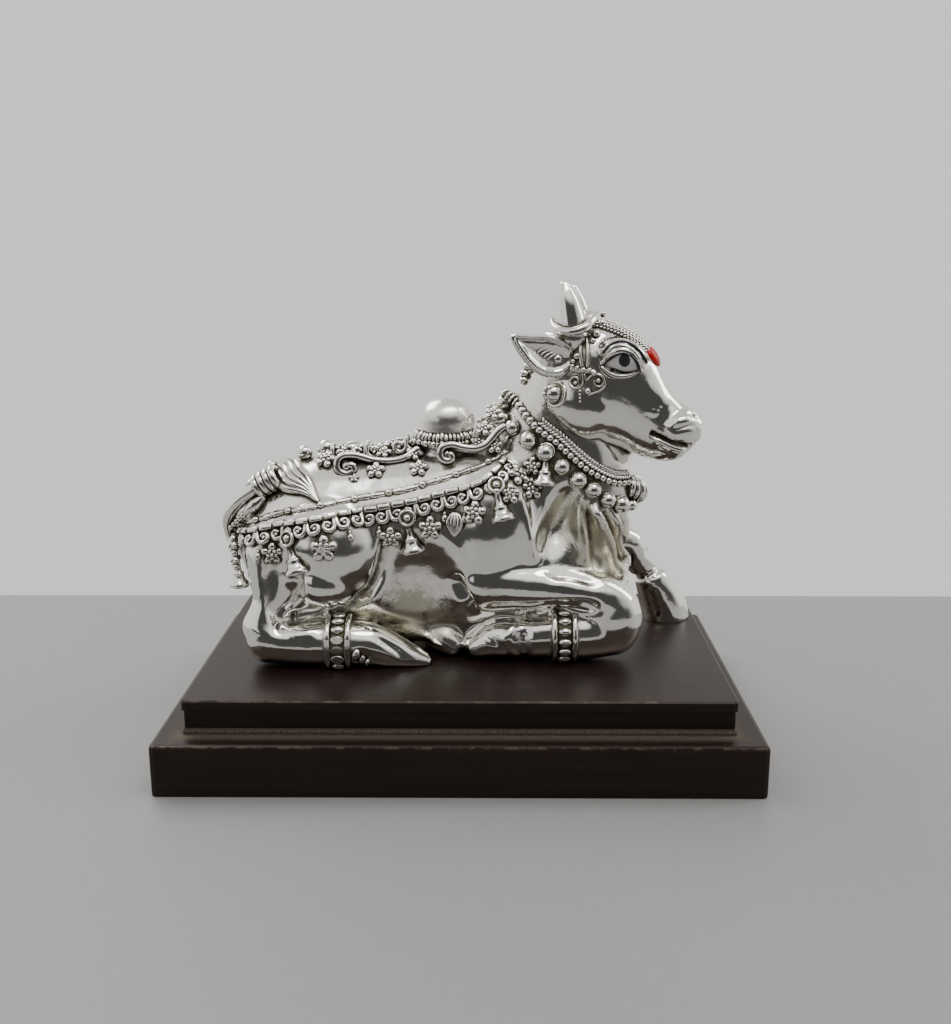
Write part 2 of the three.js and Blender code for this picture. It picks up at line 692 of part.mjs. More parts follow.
// Head: horn rings, forehead band, straps, earrings, eyes with their lids, forehead mark
const hornRingRadius = 4.2;
const browBand = [[7.5, 4.6, 113.4], [12.5, 4.4, 112.8], [17, 3.6, 110.8], [21.4, 2.6, 107.8],
  [25, 1.2, 104.8]];
for (const side of [-1, 1]) {
  const ring = new THREE.TorusGeometry(hornRingRadius, 0.9, 4, 11);
  ring.rotateY(THREE.MathUtils.degToRad(-14));
  ring.translate(...headPoint(4.6, side * 6.8, 111).toArray());
  trim.push(fromGeometry(ring));
  const band = browBand.map(([along, aside, height]) => headPoint(along, side * aside, height));
  trim.push(limb(band.map((c) => [c.x, c.y, c.z, 1.2, 1.2]), { sides: 6 }));
  trim.push(headEgg(3, side * 10, 94.8, 2.8, 2.2, 2.8, 0, 9, 6));
  trim.push(headEgg(19.4, side * 11.1, 102.4, 4, 2, 2.8, 14, 12, 8));
  const arch = spread(-1, 1, 7).map((t) => {
    const height = 103.6 - 1.4 * t + 2.6 * (1 - t * t);
    const c = headPoint(19.2 + t * 5.4, side * (11.6 - 1.2 * t * t), height);
    return [c.x, c.y, c.z, 0.8, 0.8];
  });
  trim.push(limb(arch, { sides: 6 }));
  const strap = [[7.2, 8.6, 110.4], [8.4, 11.2, 105], [8.6, 12, 100.4], [8.4, 12.4, 96]];
  trim.push(limb(strap.map(([along, aside, height]) => {
    const c = headPoint(along, side * aside, height);
    return [c.x, c.y, c.z, 1.1, 1.1];
  }), { sides: 6, lean: vec(1, 0, 0) }));
  trim.push(headEgg(8.6, side * 12.6, 95.2, 3, 1.4, 2.2, 0, 10, 6));
}
trim.push(headEgg(26, 0, 103.2, 1.6, 1.9, 2.8, 30, 8, 6));

// Scales the drawn figure to the bull's three sizes and stands it on the base
function place(figure) {
  const { min, max } = figure.boundingBox();
  const sizes = [bullLength, bullWidth, bullHeight];
  return figure.translate([0, 0, -soleLevel])
    .scale(sizes.map((size, i) => size / (max[i] - min[i])))
    .translate([0, 0, standTop]);
}

function toGeometry({ positions, indices }) {
  const geometry = new THREE.BufferGeometry();
  geometry.setAttribute('position', new THREE.BufferAttribute(new Float32Array(positions), 3));
  geometry.setIndex(indices);
  geometry.computeVertexNormals();
  return geometry;
}

// Slab with rounded upright corners. The profile runs from the underside up, [inset, height].
function slab(length, depth, corner, profile) {
  const turns = 3;
  const rows = profile.map(([inset, height]) => {
    const ring = [];
    const r = Math.max(corner - inset, 0.3);
    for (const [sx, sy, start] of [[1, 1, 0], [-1, 1, 90], [-1, -1, 180], [1, -1, 270]]) {
      for (let k = 0; k < turns; k += 1) {
        const angle = THREE.MathUtils.degToRad(start + (90 * k) / (turns - 1));
        ring.push([
          sx * (length / 2 - inset - r) + r * Math.cos(angle),
          sy * (depth / 2 - inset - r) + r * Math.sin(angle),
          height,
        ]);
      }
    }
    return ring;
  });
  const sides = turns * 4;
  const positions = rows.flat(2);
  const indices = [];
  for (let i = 0; i < rows.length - 1; i += 1) {
    for (let k = 0; k < sides; k += 1) {
      const p = i * sides + k;
      const q = i * sides + ((k + 1) % sides);
      indices.push(p, q, q + sides, p, q + sides, p + sides);
    }
  }
  for (const [row, over] of [[0, false], [rows.length - 1, true]]) {
    const centre = positions.length / 3;
    positions.push(0, 0, profile[row][1]);
    for (let k = 0; k < sides; k += 1) {
      const p = row * sides + k;
      const q = row * sides + ((k + 1) % sides);
      indices.push(...(over ? [centre, p, q] : [centre, q, p]));
    }
  }
  return { positions, indices };
}

const bullSolid = place(joined([plainBody, joined(trim)]).subtract(floorCut));

const lowerTier = slab(baseLength, baseDepth, 1.4, [
  [0.3, 0],
  [0, 0.3],
  [0, lowerTierHeight - lowerEdgeRadius],
  [lowerEdgeRadius * 0.3, lowerTierHeight - lowerEdgeRadius * 0.3],
  [lowerEdgeRadius, lowerTierHeight],
]);
const upperTier = slab(baseLength - 2 * upperTierInset, baseDepth - 2 * upperTierInset, 1.2, [
  [0, lowerTierHeight],
  [0, lowerTierHeight + footRise * 0.5],
  [coveDepth, lowerTierHeight + footRise],
  [coveDepth, standTop - upperLipHeight - 0.3],
  [0, standTop - upperLipHeight],
  [0, standTop - 0.4],
  [0.4, standTop],
]);

const silver = new THREE.MeshStandardMaterial({ color: 0xc9c7bd, roughness: 0.18, metalness: 1 });
const darkWood = new THREE.MeshStandardMaterial({ color: 0x2a1f1c, roughness: 0.45, metalness: 0 });

const group = new THREE.Group();
for (const [name, shape, material] of [
  ['base_lower_tier', lowerTier, darkWood.clone()],
  ['base_upper_tier', upperTier, darkWood],
  ['bull_figure', settled(bullSolid, trimFineness, shortestEdge), silver],
]) {
  const piece = new THREE.Mesh(toGeometry(shape), material);
  piece.name = name;
  group.add(piece);
}

export default group;
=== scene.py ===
import math

import bpy
import numpy as np
from mathutils import Matrix, Vector
from mathutils.bvhtree import BVHTree


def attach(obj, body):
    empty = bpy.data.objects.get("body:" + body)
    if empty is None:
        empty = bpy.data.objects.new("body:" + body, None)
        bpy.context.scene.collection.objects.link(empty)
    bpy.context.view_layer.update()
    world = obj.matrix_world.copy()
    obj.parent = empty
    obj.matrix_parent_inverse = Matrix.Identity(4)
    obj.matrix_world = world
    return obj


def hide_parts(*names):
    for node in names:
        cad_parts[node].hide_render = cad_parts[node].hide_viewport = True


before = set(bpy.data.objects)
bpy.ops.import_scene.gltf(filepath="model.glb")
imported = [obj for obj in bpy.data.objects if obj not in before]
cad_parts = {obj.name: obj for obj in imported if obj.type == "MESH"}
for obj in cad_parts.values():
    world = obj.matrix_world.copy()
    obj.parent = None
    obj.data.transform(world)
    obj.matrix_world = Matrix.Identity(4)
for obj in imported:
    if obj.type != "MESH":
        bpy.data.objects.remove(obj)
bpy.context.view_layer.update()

# Lengths are in millimetres until a piece is made, and MM turns them into metres.
# The bull faces +X, its near flank faces -Y, and its feet stand on the base, 22.5 up.
MM = 0.001
SIDES = (-1, 1)


def vec(*numbers):
    return Vector(numbers)


UP = vec(0, 0, 1)
NEARWARD = vec(0, -1, 0)
FORWARD = vec(1, 0, 0)


# ---- camera, with its focal length in pixels of the photograph ----

PHOTO = (951, 1024)
FOCUS = 1146.0
EYE = vec(7.57522, -308.0231, 134.212)
PITCH, YAW, ROLL = 0.23632, 0.01268, 0.0026

ahead = vec(-math.sin(YAW) * math.cos(PITCH), math.cos(YAW) * math.cos(PITCH), -math.sin(PITCH))
rightward = vec(math.cos(YAW), math.sin(YAW), 0)
downward = ahead.cross(rightward)
rightward, downward = (
    rightward * math.cos(ROLL) + downward * math.sin(ROLL),
    downward * math.cos(ROLL) - rightward * math.sin(ROLL),
)


def ray_of(px, py):
    """The way that the camera looks through a pixel of the photograph."""
    way = ahead + rightward * ((px - PHOTO[0] / 2) / FOCUS) + downward * ((py - PHOTO[1] / 2) / FOCUS)
    return way.normalized()


def make_camera():
    camera = bpy.data.objects.new("camera", bpy.data.cameras.new("camera"))
    bpy.context.scene.collection.objects.link(camera)
    turned = Matrix((rightward, -downward, -ahead)).transposed().to_4x4()
    camera.matrix_world = Matrix.Translation(EYE * MM) @ turned
    camera.data.sensor_width = 36
    camera.data.lens = FOCUS / max(PHOTO) * 36
    camera.data.clip_start = 0.01
    bpy.context.scene.camera = camera


make_camera()


# ---- ways of making a piece ----

def deselect():
    if bpy.context.object and bpy.context.object.mode == "EDIT":
        bpy.ops.object.mode_set(mode="OBJECT")
    bpy.ops.object.select_all(action="DESELECT")


def pick(*pieces):
    """Selects these pieces alone, the first of them as the active one, and returns it."""
    deselect()
    for piece in pieces:
        piece.select_set(True)
    bpy.context.view_layer.objects.active = pieces[0]
    return pieces[0]


def named(piece, name):
    """Names a piece and its mesh."""
    piece.name = piece.data.name = name
    return piece


def copied(piece, matrix):
    """A copy of a piece, with its own mesh moved by a matrix."""
    copy = bpy.data.objects.new(piece.name, piece.data.copy())
    bpy.context.scene.collection.objects.link(copy)
    copy.data.transform(matrix)
    return copy


def settle(piece, name):
    """Puts a new piece's place into its mesh and names it."""
    pick(piece)
    bpy.ops.object.transform_apply(location=True, rotation=True, scale=True)
    return named(piece, name)


def smooth_line(rows, steps):
    """Rows of numbers along a line, with steps - 1 smooth ones put between each two."""
    rows = [np.array(row, float) for row in rows]
    out = []
    for i in range(len(rows) - 1):
        before, p, q, after = rows[max(i - 1, 0)], rows[i], rows[i + 1], rows[min(i + 2, len(rows) - 1)]
        for k in range(steps):
            s = k / steps
            out.append((2 * s**3 - 3 * s**2 + 1) * p + (s**3 - 2 * s**2 + s) * (q - before) / 2
                       + (3 * s**2 - 2 * s**3) * q + (s**3 - s**2) * (after - p) / 2)
    return out + [rows[-1]]


def way_at(line, i):
    """The way that a line of points goes at point i."""
    return (Vector(line[min(i + 1, len(line) - 1)]) - Vector(line[max(i - 1, 0)])).normalized()


def turn(angle, axis, centre):
    """Turns what is selected; without a window the operator turns the other way."""
    if abs(angle) > 1e-6:
        bpy.ops.transform.rotate(value=-angle, orient_axis=axis, center_override=centre)


def facing(way, out):
    """Angles of a ring that looks along way, with its second half-size along out."""
    across = out.cross(way).normalized()
    return Matrix((across, way.cross(across).normalized(), way.normalized())).transposed().to_euler("XYZ")


def tube(name, rings, sides=24):
    """A disc extruded from ring to ring. A ring is (centre, half-breadth, half-height, angles)."""
    deselect()
    bpy.ops.mesh.primitive_circle_add(vertices=sides, radius=MM, fill_type="NGON")
    piece = bpy.context.object
    bpy.ops.object.mode_set(mode="EDIT")
    bpy.ops.mesh.select_all(action="SELECT")
    here, size, angles = vec(0, 0, 0), (1, 1), (0, 0, 0)
    for i, (centre, breadth, height, new_angles) in enumerate(rings):
        if i:
            bpy.ops.mesh.extrude_region_move()
        centre = centre * MM
        bpy.ops.transform.translate(value=centre - here)
        for axis, angle in zip("ZYX", reversed(angles)):
            turn(-angle, axis, centre)
        bpy.ops.transform.resize(value=(breadth / size[0], height / size[1], 1), center_override=centre)
        for axis, angle in zip("XYZ", new_angles):
            turn(angle, axis, centre)
        here, size, angles = centre, (breadth, height), tuple(new_angles)
    bpy.ops.mesh.select_all(action="SELECT")
    bpy.ops.mesh.normals_make_consistent(inside=False)
    bpy.ops.object.mode_set(mode="OBJECT")
    return named(piece, name)


def domed(rings, dome):
    """Rounds both ends of a row of rings with three smaller rings each."""
    if not dome:
        return rings

    def cap(ring, other):
        out = (ring[0] - other[0]).normalized()
        reach = dome * min(ring[1], ring[2])
        return [(ring[0] + out * reach * math.sin(t), ring[1] * math.cos(t), ring[2] * math.cos(t), ring[3])
                for t in (math.radians(30), math.radians(58), math.radians(80))]

    return cap(rings[0], rings[1])[::-1] + rings + cap(rings[-1], rings[-2])


def limb(name, stations, sides=24, steps=3, dome=0.75, out=(0, 0, 1)):
    """A round-ended limb along stations (x, y, z, half-breadth, half-height)."""
    rows = smooth_line(stations, steps)
    line = [row[:3] for row in rows]
    rings = [(Vector(row[:3]), row[3], row[4], facing(way_at(line, i), Vector(out)))
             for i, row in enumerate(rows)]
    return tube(name, domed(rings, dome), sides)


def egg(name, place, sizes, segments=48, rings=32, pitch=0, yaw=0):
    """A ball or egg with three half-sizes, turned by pitch about Y and then by yaw about Z."""
    deselect()
    bpy.ops.mesh.primitive_uv_sphere_add(
        segments=segments, ring_count=rings, radius=1, location=Vector(place) * MM,
        rotation=(0, math.radians(pitch), math.radians(yaw)), scale=Vector(sizes) * MM)
    return settle(bpy.context.object, name)


def ball(name, place, radius, segments=20, rings=12):
    return egg(name, place, (radius,) * 3, segments, rings)


def merged(name, pieces):
    """Joins pieces into the first one."""
    whole = pick(*pieces)
    if len(pieces) > 1:
        bpy.ops.object.join()
    return named(whole, name)


def apply(piece, kind, **settings):
    """Adds a modifier with these settings and applies it."""
    pick(piece)
    modifier = piece.modifiers.new(kind.lower(), kind)
    for key, value in settings.items():
        setattr(modifier, key, value)
    bpy.ops.object.modifier_apply(modifier=modifier.name)
    return piece


# (reach, height) of the soft unevenness of the cast skin
DENTS = ((9, 0.2), (3.2, 0.08))


def cast(piece, voxel, rounds):
    """Runs joined forms together into one skin, as in a casting, and smooths it."""
    apply(piece, "REMESH", mode="VOXEL", voxel_size=voxel * MM)
    apply(piece, "SMOOTH", factor=0.5, iterations=rounds)
    for reach, height in DENTS:
        clouds = bpy.data.textures.new("dents", "CLOUDS")
        clouds.noise_scale = reach * MM
        apply(piece, "DISPLACE", texture=clouds, texture_coords="LOCAL", strength=height * MM, mid_level=0.5)
    piece.data.shade_smooth()
    return piece


def points_of(piece):
    """A piece's corners in millimetres, and its outward ways there."""
    mesh = piece.data
    co = np.empty(len(mesh.vertices) * 3)
    mesh.vertices.foreach_get("co", co)
    normals = np.empty(len(mesh.vertices) * 3)
    mesh.vertex_normals.foreach_get("vector", normals)
    return co.reshape(-1, 3) / MM, normals.reshape(-1, 3)


def set_points(piece, co):
    piece.data.vertices.foreach_set("co", (co * MM).ravel())
    piece.data.update()


def reach_to_line(co, line):
    """Each corner's distance from a line of points, and how far along the line it is, from 0 to 1."""
    line = np.array([np.array(point, float) for point in line])
    best = np.full(len(co), 1e9)
    along = np.zeros(len(co))
    lengths = np.linalg.norm(np.diff(line, axis=0), axis=1)
    total = lengths.sum()
    done = 0.0
    for p, q, length in zip(line[:-1], line[1:], lengths):
        s = np.clip(((co - p) @ (q - p)) / max(length**2, 1e-9), 0, 1)
        d = np.linalg.norm(co - (p + s[:, None] * (q - p)), axis=1)
        nearer = d < best
        best[nearer] = d[nearer]
        along[nearer] = ((done + s * length) / max(total, 1e-9))[nearer]
        done += length
    return best, along


def stroke(piece, line, width, rise, taper):
    """Raises a soft ridge along a line on the surface, or sinks a groove where rise is below 0."""
    co, normals = points_of(piece)
    line = [row[:3] for row in smooth_line([tuple(point) for point in line], 6)]
    low = np.min(line, axis=0) - 3 * width
    high = np.max(line, axis=0) + 3 * width
    near = np.all((co > low) & (co < high), axis=1)
    d, along = reach_to_line(co[near], line)
    fade = np.clip(np.minimum(along, 1 - along) / taper, 0, 1)
    fade = fade * fade * (3 - 2 * fade)
    co[near] += normals[near] * (rise * fade * np.exp(-(d / width) ** 2))[:, None]
    set_points(piece, co)


# ---- the bull's body ----

def trunk_rings():
    stations = [
        (-60.5, 60, 46, 9), (-56.5, 67, 38, 14.5), (-50, 72.5, 31, 17.5), (-40, 75.6, 27, 18.5),
        (-26, 76.4, 25, 18), (-12, 77.6, 25, 17.8), (2, 79.6, 25, 18), (15, 80, 25, 17.5),
        (27, 76, 26, 15.5), (36, 70, 29, 12.5), (41, 64, 36, 8),
    ]
    angles = facing(FORWARD, UP)
    return [(vec(x, 0, (top + bottom) / 2), breadth, (top - bottom) / 2, angles)
            for x, top, bottom, breadth in smooth_line(stations, 3)]


def neck_rings():
    stations = [
        (40, 14, 42, 11), (50, 9, 44.5, 14), (60, 6.5, 46.5, 15.2), (69, 7.2, 47.5, 14),
        (77, 8.4, 47, 12), (84, 10.4, 42, 10.8), (92, 14.2, 38, 10), (100, 18.5, 36, 9),
        (106, 22, 34, 7),
    ]
    angles = facing(UP, FORWARD)
    return [(vec((back + front) / 2, 0, z), breadth, (front - back) / 2, angles)
            for z, back, front, breadth in smooth_line(stations, 3)]


def body_forms():
    forms = [
        tube("trunk", domed(trunk_rings(), 0.45), 40),
        tube("neck", domed(neck_rings(), 0.3), 36),
        egg("belly", (-6, 0, 32), (38, 12.5, 14)),
        limb("dewlap", [(36, -1, 66, 10, 10.5), (36, -1.5, 57, 9, 10.5), (35.5, -2, 49, 7.5, 9.6),
                        (38, -2.5, 43, 6.5, 8.6), (41, -3, 39.5, 5.5, 6.2)], 28, out=(1, 0, 0)),
        egg("hump", (-4.5, 0, 82.5), (7.4, 7.5, 8.8)),
        egg("hump_crown", (-4.2, 0, 85.9), (7.9, 7.5, 6.3)),
    ]
    for side in SIDES:
        forms += [
            egg("thigh", (-35.6, side * 9, 52.6), (16.2, 14.4, 15.6), pitch=18),
            egg("thigh_foot", (-38, side * 12.2, 45), (12.4, 11.4, 8.4), pitch=16),
            egg("hock_web", (-40, side * 10.5, 36), (12, 7, 6)),
            limb("stifle", [(-34, side * 12, 48, 10, 10), (-42, side * 14.5, 42.5, 7.5, 6.6),
                            (-49, side * 16, 35, 4.5, 3.4)], out=(1, 0, 0)),
            limb("buttock", [(-48, side * 6, 62, 8, 9), (-50, side * 11, 53, 8.6, 8.8),
                             (-50.5, side * 14.4, 45, 7, 6.4), (-50.2, side * 16.2, 39.5, 5.8, 5.4),
                             (-52, side * 17, 32, 7, 7)], out=(1, 0, 0)),
            egg("shoulder", (8, side * 4.6, 56), (16, 15, 22), pitch=8),
        ]
    forms += [
        limb("near_hind_foot", [(-52.4, -17.2, 29.6, 7.2, 6.9), (-42, -17.8, 28.6, 6.7, 6.4),
                                (-32, -18, 28.4, 6.2, 6.2), (-25, -18, 28, 6, 6),
                                (-18, -17.5, 25.7, 5.2, 4.7), (-12.5, -17.5, 24.1, 4.0, 3.0),
                                (-8.8, -17.9, 23.1, 2.3, 1.6)]),
        limb("far_hind_foot", [(-52, 17, 29.5, 7, 6.8), (-42, 17.2, 28.6, 6.6, 6.4),
                               (-32, 15.5, 28.2, 6.2, 6.2), (-22, 8, 28, 6, 6),
                               (-12, -3, 28.5, 5.4, 5.6), (-5, -10, 27.2, 4.6, 4.6),
                               (-2, -12.5, 25.2, 3, 3)]),
        limb("near_forearm", [(4, -12.5, 43.5, 6.6, 8), (16, -13.8, 43.3, 6.4, 6.6),
                              (28, -14, 41.8, 6.2, 6.6), (38, -13.5, 39, 6.2, 6.8),
                              (41.8, -13.2, 36, 6.2, 6.8)]),
        limb("near_cannon", [(41.5, -13.2, 31, 6.4, 7.4), (34, -13.4, 29.4, 6.4, 7),
                             (24, -13.6, 29.2, 6.2, 6.6), (17, -13.6, 28.2, 5.6, 5.5),
                             (10, -13.6, 28.2, 5.6, 5.2), (3.5, -13.6, 25.8, 4.2, 3.2)]),
        egg("knee", (40.6, -13.3, 33.4), (8.3, 6.7, 10.2)),
        limb("far_forearm", [(18, 13, 50, 8, 8), (32, 15.5, 48.5, 6.5, 6.5), (44, 17.5, 47.5, 5.6, 5.6),
                             (49, 18, 46, 5, 5)]),
        limb("far_cannon", [(48.5, 18, 45.5, 5, 5), (52, 19, 40.5, 4.4, 4.4), (54.5, 20, 36.5, 4, 4)],
             out=(1, 0, 0)),
        limb("far_hoof", [(54.6, 20, 37.2, 4, 4.1), (56.8, 20.6, 33, 4.9, 5.2), (59.7, 21.4, 26.5, 5.7, 6.4),
                          (60.7, 21.6, 21, 6.0, 6.8)], 32, dome=0, out=(1, 0, 0)),
    ]
    return forms


body = merged("bull_body", body_forms())
cast(body, voxel=0.66, rounds=14)


# ---- the head, made in its own upright plane and then turned ----

HEAD_TURN = math.radians(15)
HEAD_TILT = 0.07
HEAD_ROOT = 25
HEAD = (Matrix.Translation((HEAD_ROOT * MM, 0, 0)) @ Matrix.Rotation(-HEAD_TURN, 4, "Z")
        @ Matrix(((1, 0, 0, 0), (0, 1, 0, 0), (0, -HEAD_TILT, 1, 0), (0, 0, 0, 1))))


def skull_rings():
    stations = [
        (-1.5, 107, -4, 96, 6), (1.5, 110.5, -2, 90.5, 9), (6, 112.8, 2, 85, 10.6),
        (11, 113, 7, 81, 11.4), (16, 111.6, 13, 79.3, 11.2), (20.9, 109, 18.5, 78.8, 10.2),
        (25.1, 105.7, 23, 77.1, 8.8), (28.4, 100.7, 27.2, 76, 7.6), (31, 95.9, 30.8, 75.8, 7.2),
        (34.2, 92.2, 34, 76.6, 7.2), (37.4, 90.4, 36.6, 78.8, 6.6), (39.4, 88.4, 38.8, 81.5, 5),
    ]
    rings = []
    for top_x, top_z, low_x, low_z, breadth in smooth_line(stations, 3):
        half = vec(top_x - low_x, 0, top_z - low_z) / 2
        way = vec(half.z, 0, -half.x)
        rings.append((vec((top_x + low_x) / 2, 0, (top_z + low_z) / 2), breadth, half.length,
                      facing(way.normalized(), half.normalized())))
    return rings


def head_forms():
    forms = [tube("skull", domed(skull_rings(), 0.35), 40)]
    for side in SIDES:
        forms += [
            egg("cheek", (8, side * 3.6, 91), (11, 9, 11), pitch=20),
            egg("brow", (19, side * 7, 103.8), (6.8, 4.6, 4.4), pitch=14),
            egg("muzzle", (33.6, side * 2.6, 85), (5.8, 5.6, 5.4), pitch=20),
            limb("horn_foot", [(4.6, side * 6.8, 106, 3.7, 3.7), (4.4, side * 6.9, 112, 3.5, 3.5)],
                 out=(1, 0, 0)),
        ]
    return forms


head = merged("bull_head", head_forms())
cast(head, voxel=0.38, rounds=14)
head.data.transform(HEAD)


# ---- where ornaments stand ----

def skin_of(pieces):
    corners, faces = [], []
    for piece in pieces:
        start = len(corners)
        corners += [Vector(point) for point in points_of(piece)[0]]
        faces += [[start + corner for corner in face.vertices] for face in piece.data.polygons]
    return BVHTree.FromPolygons(corners, faces)


skin = skin_of([body, head])


# How far off a line to the skin starts, and the depths at which a missed skin is looked for
BESIDE, ABOVE = 200, 300
DEPTHS = range(260, 380, 3)


def through(matrix, point):
    """A point in millimetres, moved by a matrix that is in metres."""
    return (matrix @ (point * MM)) / MM


def met(start, way):
    """The place and the outward way where a line first meets the skin."""
    place, out, _, _ = skin.ray_cast(start, way.normalized())
    if place is None:
        raise ValueError(f"no skin from {tuple(start)} along {tuple(way)}")
    return place, out


def flank(x, z):
    return met(vec(x, -BESIDE, z), vec(0, 1, 0))


def rump(y, z):
    return met(vec(-BESIDE, y, z), FORWARD)


def back(x, y):
    return met(vec(x, y, ABOVE), -UP)


def seen(px, py):
    """The place on the skin that shows at a pixel of the photograph, or the nearest to it."""
    way = ray_of(px, py)
    place, out, _, _ = skin.ray_cast(EYE, way)
    if place is None:
        near = [skin.find_nearest(EYE + way * reach) for reach in DEPTHS]
        place, out, _, _ = min(near, key=lambda found: found[3])
    return place, out


def at_face(px, py, place, out):
    """Where the camera's line through a pixel crosses the plane at place that faces out."""
    way = ray_of(px, py)
    return EYE + way * ((place - EYE).dot(out) / way.dot(out))


def at_plane(px, py, y):
    """Where the camera's line through a pixel crosses the upright plane at this y."""
    way = ray_of(px, py)
    return EYE + way * ((y - EYE.y) / way.y)


def dense(spots, steps):
    """Seats along a line of seats, put back on the skin."""
    line = smooth_line([tuple(place) for place, _ in spots], steps)
    return [skin.find_nearest(Vector(point))[:2] for point in line]


def seats_at(pixels, steps=3):
    """Seats along pixels of the photograph."""
    return dense([seen(px, py) for px, py in pixels], steps)


def walk(spots, pitch, start=0.0):
    """Seats a pitch apart along a line of seats, each with the way that the line goes."""
    places = [np.array(place) for place, _ in spots]
    lengths = [0.0]
    for p, q in zip(places, places[1:]):
        lengths.append(lengths[-1] + float(np.linalg.norm(q - p)))
    out = []
    at = start
    while at <= lengths[-1]:
        i = min(max(int(np.searchsorted(lengths, at)) - 1, 0), len(places) - 2)
        mix = (at - lengths[i]) / max(lengths[i + 1] - lengths[i], 1e-9)
        place = Vector(places[i] * (1 - mix) + places[i + 1] * mix)
        way = (Vector(places[i + 1]) - Vector(places[i])).normalized()
        normal = (spots[i][1] * (1 - mix) + spots[i + 1][1] * mix).normalized()
        out.append((place, normal, way))
        at += pitch
    return out


def stand(unit, place, out, up, lift=0.0, size=1.0, flip=False):
    """A copy of a unit, with its own Z along out and its own Y along up."""
    right = up.cross(out).normalized()
    turned = Matrix((right, out.cross(right).normalized(), out)).transposed().to_4x4()
    sizes = Matrix.Diagonal((-size if flip else size, size, size, 1))
    return copied(unit, Matrix.Translation((place + out * lift) * MM) @ turned @ sizes)


GRAIN_PITCH = 0.95


def braid(unit, spots, offset, slant, lift, size=1.0, start=0.0):
    """Copies of a unit, set aslant one after another beside a line of seats."""
    parts = []
    for place, out, way in walk(spots, GRAIN_PITCH, start):
        across = out.cross(way).normalized()
        spot, normal, _, _ = skin.find_nearest(place + across * offset)
        up = Matrix.Rotation(math.radians(slant), 3, normal) @ way
        parts.append(stand(unit, spot, normal, up, lift, size))
    return parts


def drop_units(units):
    for unit in units:
        bpy.data.objects.remove(unit)


def finished(piece, name):
    """Merges doubles, points the faces outwards, smooths the shading and names the piece."""
    pick(piece)
    bpy.ops.object.mode_set(mode="EDIT")
    bpy.ops.mesh.select_all(action="SELECT")
    bpy.ops.mesh.remove_doubles(threshold=0.000001)
    bpy.ops.mesh.normals_make_consistent(inside=False)
    bpy.ops.object.mode_set(mode="OBJECT")
    piece.data.shade_smooth()
    return named(piece, name)


MIRROR = Matrix.Diagonal((1, -1, 1, 1))
HEAD_MIRROR = HEAD @ MIRROR @ HEAD.inverted()
HEAD_UP = (HEAD.to_3x3() @ UP).normalized()


def both(name, pieces, matrix=MIRROR):
    """Joins near-side pieces with their mirror images."""
    near = merged(name, pieces)
    return finished(merged(name, [near, copied(near, matrix)]), name)


def wire(name, path, radius, sides=8, steps=2):
    """A round wire along (x, y, z) or (x, y, z, share of the radius)."""
    rows = [(*row[:3], radius * (row[3] if len(row) > 3 else 1)) for row in path]
    return limb(name, [(*row[:3], row[3], row[3]) for row in rows], sides, steps, 0.8)


def on_skin(name, spots, breadth, height, sides=8, sink=0.0, wave=None):
    """A strip or wire that follows seats on the skin."""
    line = [place for place, _ in spots]
    rings = []
    for i, (place, out) in enumerate(spots):
        share = wave(i / (len(spots) - 1)) if wave else 1
        rings.append((place - out * sink, breadth * share, height * share, facing(way_at(line, i), out)))
    return tube(name, domed(rings, 0.6), sides)


def ring(name, place, radius, thick, way=(0, 0, 1), around=32, sides=8):
    """A plain round ring whose axis looks along way."""
    deselect()
    bpy.ops.mesh.primitive_torus_add(
        major_radius=radius * MM, minor_radius=thick * MM, major_segments=around,
        minor_segments=sides, location=Vector(place) * MM,
        rotation=Vector(way).to_track_quat("Z", "Y").to_euler())
    return settle(bpy.context.object, name)


# ---- lines of the face and body, worked into the skin ----

def hollow(piece, place, sizes, depth):
    """Presses an oval part of both flanks in towards the middle."""
    co = points_of(piece)[0]
    for side in SIDES:
        off = (co - np.array((place[0], side * place[1], place[2]))) / np.array(sizes)
        share = np.clip(1 - (off ** 2).sum(1), 0, 1) ** 1.5
        co[:, 1] -= side * depth * share
    set_points(piece, co)


def rim_round(piece, start, end, reach, rise, groove):
    """Flares a limb from start to end, with a sharp rim and a groove above it at start."""
    co, normals = points_of(piece)
    start, axis = np.array(start), np.array(end) - np.array(start)
    length = np.linalg.norm(axis)
    along = (co - start) @ axis / length
    near = np.linalg.norm(co - start - np.outer(along, axis / length), axis=1) < reach
    share = np.clip((along + 0.4) / 0.7, 0, 1) * np.clip((length + 2 - along) / 2, 0, 1)
    push = rise * share - groove * np.exp(-((along + 1.3) / 1.1) ** 2)
    co[near] += normals[near] * push[near][:, None]
    set_points(piece, co)


rim_round(body, (55.2, 20.2, 36.4), (61.6, 22, 21), 10, 0.5, 0.9)
hollow(body, (-11.5, 20, 45.5), (13.5, 16, 15), 4.2)
hollow(body, (27, 17, 60), (7, 12, 12), 2.2)
hollow(body, (-49.5, 21, 47), (3.6, 9, 11), 2.4)
skin = skin_of([body, head])


def worked(piece, rows, matrix=None):
    """Ridges and grooves along pixels of the photograph: (pixels, width, rise, taper)."""
    for pixels, width, rise, taper in rows:
        line = [seen(px, py)[0] for px, py in pixels]
        stroke(piece, line, width, rise, taper)
        if matrix:
            stroke(piece, [through(matrix, point) for point in line], width, rise, taper)


